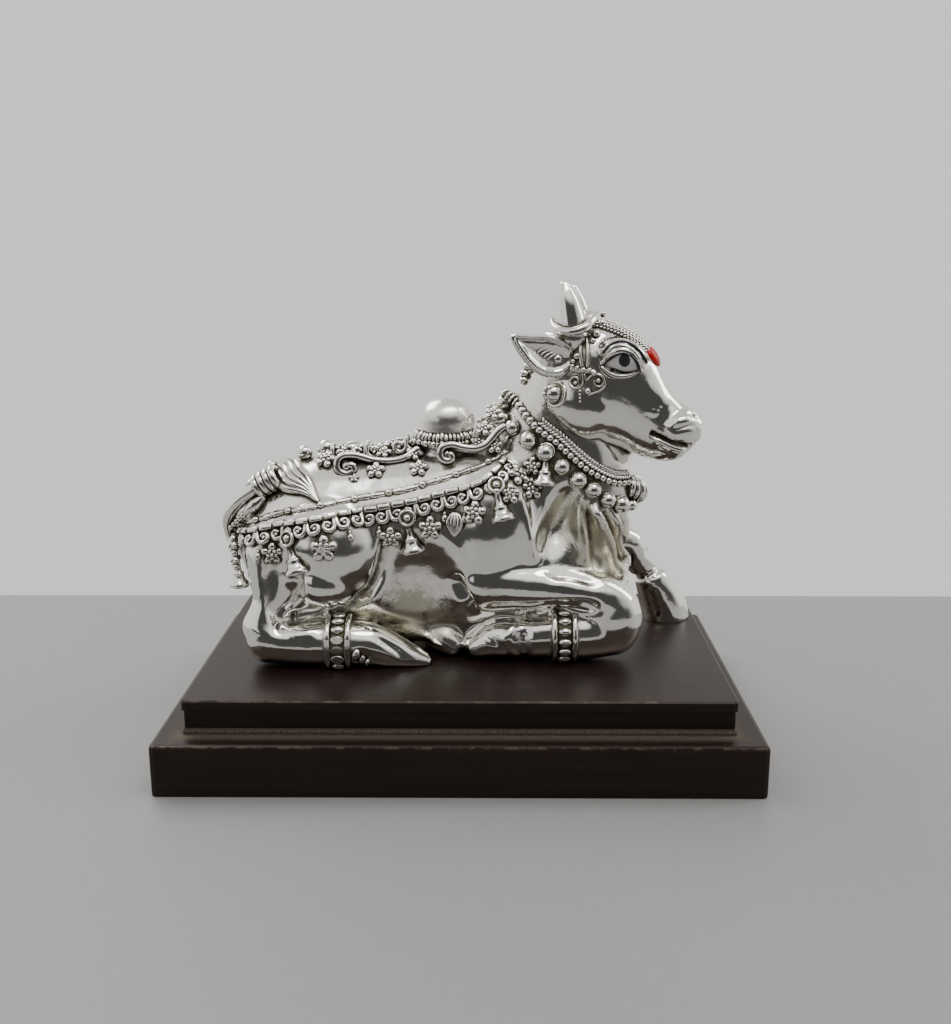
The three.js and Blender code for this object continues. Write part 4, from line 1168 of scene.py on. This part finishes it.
# (pixels, half-breadth) of a strap, (pixel, radius) of a bead, and the pixels of a scroll
STRAPS = [([(582.5, 335), (580.6, 342), (580.4, 352), (581, 361), (582.5, 367)], 0.55),
          ([(585.5, 335), (587, 342), (588, 352), (588, 362), (587.5, 367)], 0.5),
          ([(583, 335), (586, 334.4), (590, 336)], 0.6),
          ([(571.5, 368.5), (578, 370.5), (586, 371), (594, 372.5)], 0.75)]
FACE_BEADS = [
    (596, 334.5, 1.1), (592.5, 341, 0.75), (575, 344, 0.75), (573.2, 349.5, 0.65), (577, 356.5, 0.95),
    (573.5, 361.5, 0.7), (572.5, 366.5, 0.7), (577.5, 368, 0.75), (583.5, 370, 0.8), (589.5, 370.5, 0.75),
    (594.5, 373.5, 0.7), (587.7, 391.3, 0.85), (575.5, 383, 0.55), (598.5, 380.5, 0.65),
    (580, 391, 0.4), (580, 394.5, 0.36), (580, 398, 0.33), (580, 401.5, 0.3),
]
CHEEK_SCROLLS = [
    [(583, 374), (583.5, 381), (581, 387), (576, 388.6), (571.2, 386), (570.6, 380.5), (574, 377),
     (578, 378.5), (578.3, 382.5)],
    [(585, 374), (586.5, 380), (591, 376), (597, 374.2), (602.5, 376.5), (604, 382), (600.5, 386.3),
     (595.5, 385), (594.8, 380.5)],
    [(604, 380), (604.5, 386), (599, 391), (592.5, 393.5), (588.5, 395)],
]


def make_head_ornaments():
    """The garland, the straps and beads of the bridle, the cheek scrolls and the ear's flower."""
    parts = make_garland()
    parts += [on_skin("strap", seats_at(pixels), breadth, 0.75) for pixels, breadth in STRAPS]
    parts += [set_on(bead_unit, seen(px, py), radius * 0.3, radius) for px, py, radius in FACE_BEADS]
    parts += [on_skin("scroll", seats_at(pixels, 4), 0.34, 0.55) for pixels in CHEEK_SCROLLS]
    place, out = seen(553.8, 393.8)
    parts.append(ball("ear_boss", place + out * 0.3, 2.45, 28, 18))
    for k in range(6):
        angle = math.tau * k / 6 + 0.3
        spot = place + out * 2.0 + vec(math.cos(angle) * 1.25, 0, math.sin(angle) * 1.25)
        parts.append(egg("petal", spot, (0.7, 0.62, 0.7), 12, 8))
    parts.append(ring("ear_ring", place - out * 0.3 + vec(0.5, 0, -0.1), 3.05, 0.55, out, 36, 8))
    for point in [(17.6, -2.4, 100.4), (16.8, -2.6, 98.6), (16.6, -2.8, 96.8)]:
        parts.append(egg("knot", point, (1.3, 1.1, 1.1), 12, 8))
    made(both("head_ornaments", parts, HEAD_MIRROR))


make_horns()
make_ears()
make_head_ornaments()


# ---- eyes and forehead mark ----

# The eye's breadth, the pixels at its middle and along the painted lines, and then the lids,
# as (pixels, half-breadth, half-height)
EYE_SPAN = 10
EYE_MIDDLE = [(621.5, 363.5), (621.6, 363.6)]
BROW_LINE = [
    (602.3, 353.5), (605.4, 349.4), (610, 345.2), (615.4, 342.6), (620.8, 341.6), (626.9, 342.7),
    (633, 345.6), (638.5, 350.2), (643, 356.4), (646.2, 362.5),
]
LID_LINE = [
    (602.7, 364.8), (607.7, 361), (613, 357.2), (618.5, 354.2), (623, 353), (628.5, 354), (633, 357),
    (636.2, 361), (638.2, 365.4), (639.4, 370),
]
UNDER_LINE = [(611, 368.8), (615.4, 369.4), (619.2, 371), (623.8, 372.4), (628.5, 372.6), (633, 371.2)]
LIDS = [
    ([(603.5, 357), (609, 350.2), (615.4, 346.2), (622.3, 345.4), (630, 348.4), (636.2, 354.3),
      (641, 362), (643, 368)], 0.6, 0.5),
    ([(600.5, 364.5), (606.5, 357.8), (613, 352.8), (620.8, 350.2), (627.5, 351.4), (633.5, 355.4),
      (637.8, 360.8), (640.5, 367)], 0.85, 0.55),
    ([(601.5, 366.5), (606, 371), (612, 374.8), (619, 376.6), (626, 376.2), (632.5, 374.4),
      (638.5, 371.5)], 0.62, 0.45),
    ([(639.5, 366.5), (641, 369.5), (643.5, 371.8)], 0.5, 0.5),
]


def sink_sockets(middle, out, up, right):
    """Presses the head in round the near eye and its mirror image."""
    co = points_of(head)[0]
    for mirror in (None, HEAD_MIRROR):
        centre = through(mirror, middle) if mirror else middle
        u_way, v_way, w_way = (np.array(mirror.to_3x3() @ way if mirror else way) for way in (right, up, out))
        off = co - np.array(centre)
        u, v, w = off @ u_way, off @ v_way, off @ w_way
        inside = np.clip(1.18 - np.sqrt((u / 5.2) ** 2 + (v / 3.5) ** 2), 0, 0.5) * 2
        co -= np.outer(1.9 * inside * (np.abs(w) < 5), w_way)
    set_points(head, co)


def make_eyes():
    """Painted eyes sunk between their lids, and the dark lines of paint round them."""
    face = skin_of([head])

    def seats(pixels):
        spots = [face.ray_cast(EYE, ray_of(px, py))[0] for px, py in pixels]
        line = smooth_line([tuple(spot) for spot in spots], 4)
        return [face.find_nearest(Vector(point))[:2] for point in line]

    middle, out = seats(EYE_MIDDLE)[0]
    up = (HEAD_UP - out * HEAD_UP.dot(out)).normalized()
    sink_sockets(middle, out, up, up.cross(out))
    flat_ball = egg("eyeball", (0, 0, 0), (EYE_SPAN / 2, 3.6, 1.7), 64, 40)
    own = flat_ball.data.uv_layers[0]
    corners = points_of(flat_ball)[0]
    for loop, place in zip(flat_ball.data.loops, own.data):
        x, y, _ = corners[loop.vertex_index]
        place.uv = (x / EYE_SPAN + 0.5, y / EYE_SPAN + 0.5)
    eyeball = stand(flat_ball, middle, out, up, -2.0)
    drop_units([flat_ball])

    def swell(t):
        return 0.35 + 0.65 * math.sin(math.pi * t) ** 0.6

    lids = [on_skin("lid", seats(pixels), breadth, height, 12, 0, swell) for pixels, breadth, height in LIDS]
    paint = [on_skin("line", seats(pixels), breadth, 0.34, 8, sink, wave) for pixels, breadth, sink, wave in [
        (BROW_LINE, 0.3, -0.1, lambda t: 0.7 + 0.7 * t), (LID_LINE, 0.4, -0.1, lambda t: 0.5 + 0.8 * t),
        (UNDER_LINE, 0.26, 0.55, lambda t: 1.2 - 0.6 * t)]]
    made(both("eyelids", lids, HEAD_MIRROR))
    lines = both("eye_lines", paint, HEAD_MIRROR)
    return both("eyeballs", [eyeball], HEAD_MIRROR), lines


eyes, eye_lines = make_eyes()


def make_mark():
    """The red oval on the forehead, in its raised rim."""
    mark = egg("forehead_mark", (25.9, -1.3, 103.6), (1.7, 2.9, 3.5), 32, 20, pitch=-34)
    setting = egg("setting", (24.9, -1.3, 103.1), (1.5, 3.5, 4.3), 32, 20, pitch=-34)
    for piece in (mark, setting):
        piece.data.transform(HEAD)
    made(finished(setting, "mark_setting"))
    return finished(mark, "forehead_mark")


mark = make_mark()
drop_units([flower_unit, bell_unit, disc_unit, scroll_unit, bar_unit, drop_unit, leaf_unit, bead_unit,
            ball_unit, grain_unit])


def keep_within(piece, low, high):
    """Presses anything that stands out past the casting's measured size back to it."""
    set_points(piece, np.clip(points_of(piece)[0], low, high))


cast_points = points_of(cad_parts["bull_figure"])[0]
for piece in silver_pieces + [eyes, eye_lines, mark]:
    keep_within(piece, cast_points.min(0), cast_points.max(0))
    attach(piece, "root")
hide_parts("bull_figure")


# ---- how worn each place is ----

def ways_round(count):
    """Ways spread evenly over the half of a ball round +Z."""
    ways = []
    for i in range(count):
        rise = 1 - (i + 0.5) / count
        angle = i * math.pi * (3 - math.sqrt(5))
        flat = math.sqrt(1 - rise * rise)
        ways.append((flat * math.cos(angle), flat * math.sin(angle), rise))
    return ways


def store(piece, name, values):
    """Stores a number on every corner of a piece, for its material to read."""
    attribute = piece.data.attributes.new(name, "FLOAT", "POINT")
    attribute.data.foreach_set("value", values.astype(np.float32))


def add_recess(pieces, reach=3.2, count=10):
    """Stores on every corner how far it lies in a recess, from 0 to 1."""
    everything = skin_of(pieces)
    ways = np.array(ways_round(count))
    for piece in pieces:
        co, normals = points_of(piece)
        side = np.cross(normals, np.where(np.abs(normals[:, 2:]) > 0.9, (1.0, 0, 0), (0, 0, 1.0)))
        side /= np.linalg.norm(side, axis=1)[:, None] + 1e-9
        other = np.cross(normals, side)
        hidden = np.zeros(len(co))
        starts = co + normals * 0.12
        for way in ways:
            rays = side * way[0] + other * way[1] + normals * way[2]
            for i in range(len(co)):
                distance = everything.ray_cast(starts[i], rays[i], reach)[3]
                if distance is not None:
                    hidden[i] += 1 - distance / reach
        store(piece, "recess", hidden / count)


# ---- materials ----

class Value:
    """The number that a socket gives, so that sums of sockets can be written as sums."""

    def __init__(self, net, socket):
        self.net, self.socket = net, socket

    def math(self, kind, *others):
        return self.net.work_out(kind, self, *others)

    def __add__(self, other):
        return self.math("ADD", other)

    def __sub__(self, other):
        return self.math("SUBTRACT", other)

    def __rsub__(self, other):
        return self.net.work_out("SUBTRACT", other, self)

    def __mul__(self, other):
        return self.math("MULTIPLY", other)

    def __truediv__(self, other):
        return self.math("DIVIDE", other)

    def __pow__(self, other):
        return self.math("POWER", other)

    __radd__ = __add__
    __rmul__ = __mul__

    def between(self, low, high):
        """0 below low, 1 above high, and smooth between them."""
        return self.net.read("ShaderNodeMapRange", "Result", {"interpolation_type": "SMOOTHSTEP"},
                             {"Value": self, "From Min": low, "From Max": high})


class Net:
    """The nodes of one material or world."""

    def __init__(self, tree):
        self.tree = tree

    def add(self, kind, settings, inputs):
        node = self.tree.nodes.new(kind)
        for key, value in settings.items():
            setattr(node, key, value)
        for key, value in inputs.items():
            if isinstance(value, Value):
                self.tree.links.new(value.socket, node.inputs[key])
            else:
                node.inputs[key].default_value = value
        return node

    def read(self, kind, output, settings, inputs):
        return Value(self, self.add(kind, settings, inputs).outputs[output])

    def work_out(self, kind, *values):
        """What a Math node of this kind makes of these numbers."""
        return self.read("ShaderNodeMath", "Value", {"operation": kind}, dict(enumerate(values)))

    def noise(self, place, scale, detail=3.0, rough=0.55):
        return self.read("ShaderNodeTexNoise", "Fac", {},
                         {"Vector": place, "Scale": scale, "Detail": detail, "Roughness": rough})

    def bump(self, strength, distance, height):
        node = self.add("ShaderNodeBump", {}, {"Strength": strength, "Distance": distance, "Height": height})
        return Value(self, node.outputs["Normal"])

    def axes(self, vector):
        """The three numbers of a vector."""
        parts = self.add("ShaderNodeSeparateXYZ", {}, {"Vector": vector})
        return [Value(self, parts.outputs[axis]) for axis in "XYZ"]

    def mix(self, share, first, second):
        return Value(self, self.add("ShaderNodeMix", {"data_type": "RGBA"},
                                    {0: share, 6: first, 7: second}).outputs[2])


def new_material(name):
    material = bpy.data.materials.new(name)
    material.use_nodes = True
    net = Net(material.node_tree)
    shader = material.node_tree.nodes["Principled BSDF"]
    place = net.read("ShaderNodeTexCoord", "Object", {}, {})
    return material, net, shader, place


def connect(net, shader, **sockets):
    for name, value in sockets.items():
        net.tree.links.new(value.socket, shader.inputs[name.replace("_", " ")])


def make_silver():
    """Bright plate with dark grime in its recesses, duller where worn and satin on the back."""
    material, net, shader, place = new_material("silver_plate")
    recess, worn, satin = (net.read("ShaderNodeAttribute", "Fac", {"attribute_name": name}, {})
                           for name in ("recess", "worn", "satin"))
    broad = net.noise(place, 45)
    fine = net.noise(place, 420)
    specks = net.noise(place, 1500, 2)
    matte = (worn + (fine - 0.5) * 0.9 + (specks - 0.5) * 0.5).between(0.35, 0.8)
    tarnish = (recess + (broad - 0.5) * 0.16 + (fine - 0.5) * 0.12).between(0.12, 0.44)
    colour = net.mix(broad.between(0.3, 0.7), (0.89, 0.872, 0.82, 1), (0.93, 0.912, 0.86, 1))
    colour = net.mix(matte * 0.8, colour, (0.68, 0.645, 0.50, 1))
    colour = net.mix(tarnish, colour, (0.14, 0.121, 0.075, 1))
    rough = 0.075 + broad * 0.05 + tarnish * 0.3 + matte * 0.24 + satin * 0.17
    height = fine * 0.8 + specks * 0.45 + broad * 2.0 + matte * fine * 1.6 + satin * specks
    connect(net, shader, Base_Color=colour, Roughness=rough, Metallic=1 - tarnish * 0.3,
            Normal=net.bump(0.32, 0.00007, height))
    return material


# Half the length and half the breadth of the upper tier's foot, from which the dusty joint and the lighter
# edges (partly rubbed wear, partly painted highlight) are measured
UPPER_FOOT = (69.2, 44.2)


def make_wood():
    """Near-black brown wood, dusty along the joint of the tiers, and lighter along its edges for rubbed wear
    and a painted highlight.
    """
    material, net, shader, place = new_material("dark_wood")
    x, y, z = (axis * 1000 for axis in net.axes(place))
    past = (x.math("ABSOLUTE") - UPPER_FOOT[0]).math("MAXIMUM", y.math("ABSOLUTE") - UPPER_FOOT[1])
    long_grain = net.read("ShaderNodeMapping", "Vector", {}, {"Vector": place, "Scale": (6, 60, 60)})
    grain = net.noise(long_grain, 6, 5, 0.6)
    dust = net.noise(place, 900, 3, 0.7)
    patches = net.noise(place, 25)
    joint = ((1 - past.between(0.6, 4.2)) * past.between(-1.6, -0.4)
             * z.between(12.8, 13.3) * (1 - z.between(13.9, 15.4)))
    # The edges of both tiers are painted lighter in patches: partly rubbed wear, partly a painted highlight
    # along the edge.
    low_edge = past.between(6.0, 6.5) * z.between(12.6, 13.1)
    top_edge = past.between(-0.7, -0.2) * z.between(21.9, 22.3)
    rubbed_and_highlit = (low_edge + top_edge) * net.noise(place, 260, 4, 0.7).between(0.45, 0.62)
    colour = net.mix(grain.between(0.35, 0.7), (0.0095, 0.005, 0.0038, 1), (0.015, 0.008, 0.0062, 1))
    colour = net.mix(dust.between(0.60, 0.8) * 0.2, colour, (0.11, 0.09, 0.08, 1))
    # Lighter brown along the edges: rubbed wear and a painted highlight.
    colour = net.mix(rubbed_and_highlit * 0.55, colour, (0.13, 0.105, 0.085, 1))
    grit = net.noise(place, 2600, 2, 0.8).between(0.35, 0.68) * 0.6 + 0.22
    colour = net.mix(joint * grit, colour, (0.15, 0.13, 0.1, 1))
    rough = 0.30 + patches * 0.12 + dust * 0.08 + joint * 0.3
    connect(net, shader, Base_Color=colour, Roughness=rough,
            Normal=net.bump(0.3, 0.00008, dust + grain + rubbed_and_highlit * 2))
    shader.inputs["Specular IOR Level"].default_value = 0.3
    shader.inputs["Specular Tint"].default_value = (1, 0.86, 0.77, 1)
    return material


def make_eye_paint():
    """A pale eye with a dark iris and pupil, in the eye's own plane."""
    material, net, shader, place = new_material("eye_paint")
    u, v = ((axis - 0.5) * EYE_SPAN for axis in net.axes(net.read("ShaderNodeUVMap", "UV", {}, {}))[:2])
    away = (((u - 0.7) / 1.5) ** 2 + ((v - 0.6) / 1.85) ** 2) ** 0.5
    haze = net.noise(place, 700)
    white = net.mix(haze, (0.82, 0.80, 0.81, 1), (0.93, 0.91, 0.92, 1))
    band = away.between(0.45, 0.62) * (1 - away.between(0.72, 0.85))
    iris = net.mix(band, (0.003, 0.003, 0.004, 1), (0.02, 0.024, 0.025, 1))
    colour = net.mix(away.between(0.93, 1.03), iris, white)
    connect(net, shader, Base_Color=colour)
    shader.inputs["Roughness"].default_value = 0.07
    return material


def plain(name, colour, roughness, metallic):
    material, net, shader, place = new_material(name)
    tint = net.mix(net.noise(place, 300), (*[c * 0.92 for c in colour], 1), (*colour, 1))
    connect(net, shader, Base_Color=tint)
    shader.inputs["Roughness"].default_value = roughness
    shader.inputs["Metallic"].default_value = metallic
    return material


def dress(piece, material):
    piece.data.materials.clear()
    piece.data.materials.append(material)


def add_places(piece, name, places):
    """Stores on every corner how strong something is there, from 0 to 1, round a few places."""
    co = points_of(piece)[0]
    share = np.zeros(len(co))
    for x, y, z, reach, amount in places:
        distance = np.linalg.norm((co - (x, y, z)) / reach, axis=1)
        share = np.maximum(share, amount * np.exp(-(distance ** 2)))
    store(piece, name, share)


# (x, y, z, reach, amount)
add_places(body, "worn", [
    (30, -13, 60, 11, 0.8), (30, 13, 60, 11, 0.8), (37, -7, 51, 13, 1.1), (37, 7, 51, 13, 1.1),
    (36, 0, 66, 9, 0.8), (-14, -13, 36, 10, 0.9), (-27, -13, 36, 8, 0.8), (-6, -13, 33, 9, 0.8),
    (-14, 13, 36, 10, 0.9), (22, -8, 88, 8, 0.6), (8, -17, 40, 6, 0.7), (50, 18, 42, 7, 0.5),
    (54, 18, 31, 6, 0.8),
])
add_places(body, "satin", [
    (-4.5, 0, 86, 20, 1.1), (-30, 0, 76, 22, 0.8), (10, -6, 76, 14, 0.6), (-50, 0, 72, 14, 0.5),
])
add_places(head, "satin", [(20, 0, 92, 30, 0.25)])
add_recess(silver_pieces)
silver = make_silver()
for piece in silver_pieces:
    dress(piece, silver)
dress(eyes, make_eye_paint())
dress(eye_lines, plain("black_paint", (0.008, 0.009, 0.01), 0.25, 0))
dress(mark, plain("red_enamel", (0.5, 0.012, 0.009), 0.15, 0))
wood = make_wood()
for name in ("base_upper_tier", "base_lower_tier"):
    dress(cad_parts[name], wood)


# ---- floor and light ----

def make_floor():
    """A pale table top whose far edge lies a hand's width behind the base."""
    deselect()
    bpy.ops.mesh.primitive_plane_add(size=1, location=(0, -0.088, 0))
    floor = bpy.context.object
    floor.scale = (1.6, 0.4, 1)
    settle(floor, "floor")
    dress(floor, plain("floor", (0.29, 0.287, 0.28), 0.5, 0))


def area_light(name, place, target, size, power):
    light = bpy.data.objects.new(name, bpy.data.lights.new(name, "AREA"))
    bpy.context.scene.collection.objects.link(light)
    light.data.shape = "RECTANGLE"
    light.data.size, light.data.size_y = size
    light.data.energy = power
    light.location = place
    light.rotation_euler = (Vector(place) - Vector(target)).to_track_quat("Z", "Y").to_euler()


def make_world():
    """A soft studio: a pale ceiling and back, and a darker front behind the camera."""
    world = bpy.data.worlds.new("studio")
    world.use_nodes = True
    bpy.context.scene.world = world
    net = Net(world.node_tree)
    way = net.read("ShaderNodeTexCoord", "Generated", {}, {})
    x, y, z = net.axes(way)
    ceiling = z.between(0.45, 0.7)
    front = (0 - y).between(0.0, 0.6)
    left = (0 - x).between(0.45, 0.6) * z.between(0.02, 0.12)
    right = x.between(0.62, 0.75) * z.between(0.05, 0.2)
    level = (1 - front) * 1.0 + front * 0.06 + left * front * 0.8 + right * front * 0.4
    level = level * (1 - ceiling) + ceiling * (0.7 + front * 0.5)
    direct = net.read("ShaderNodeLightPath", "Is Camera Ray", {}, {})
    level = level * (1 - direct) + direct * 0.92
    background = world.node_tree.nodes["Background"]
    net.tree.links.new(level.socket, background.inputs["Strength"])
    background.inputs["Color"].default_value = (1, 0.99, 0.975, 1)


make_floor()
area_light("key", (-0.45, 0.35, 0.7), (0, 0.05, 0.03), (0.6, 0.35), 4.0)
area_light("top", (0.15, -0.25, 0.8), (0, 0, 0.06), (0.5, 0.2), 2.2)
area_light("rim", (0.6, 0.1, 0.5), (0, 0, 0.06), (0.2, 0.5), 1.4)
make_world()
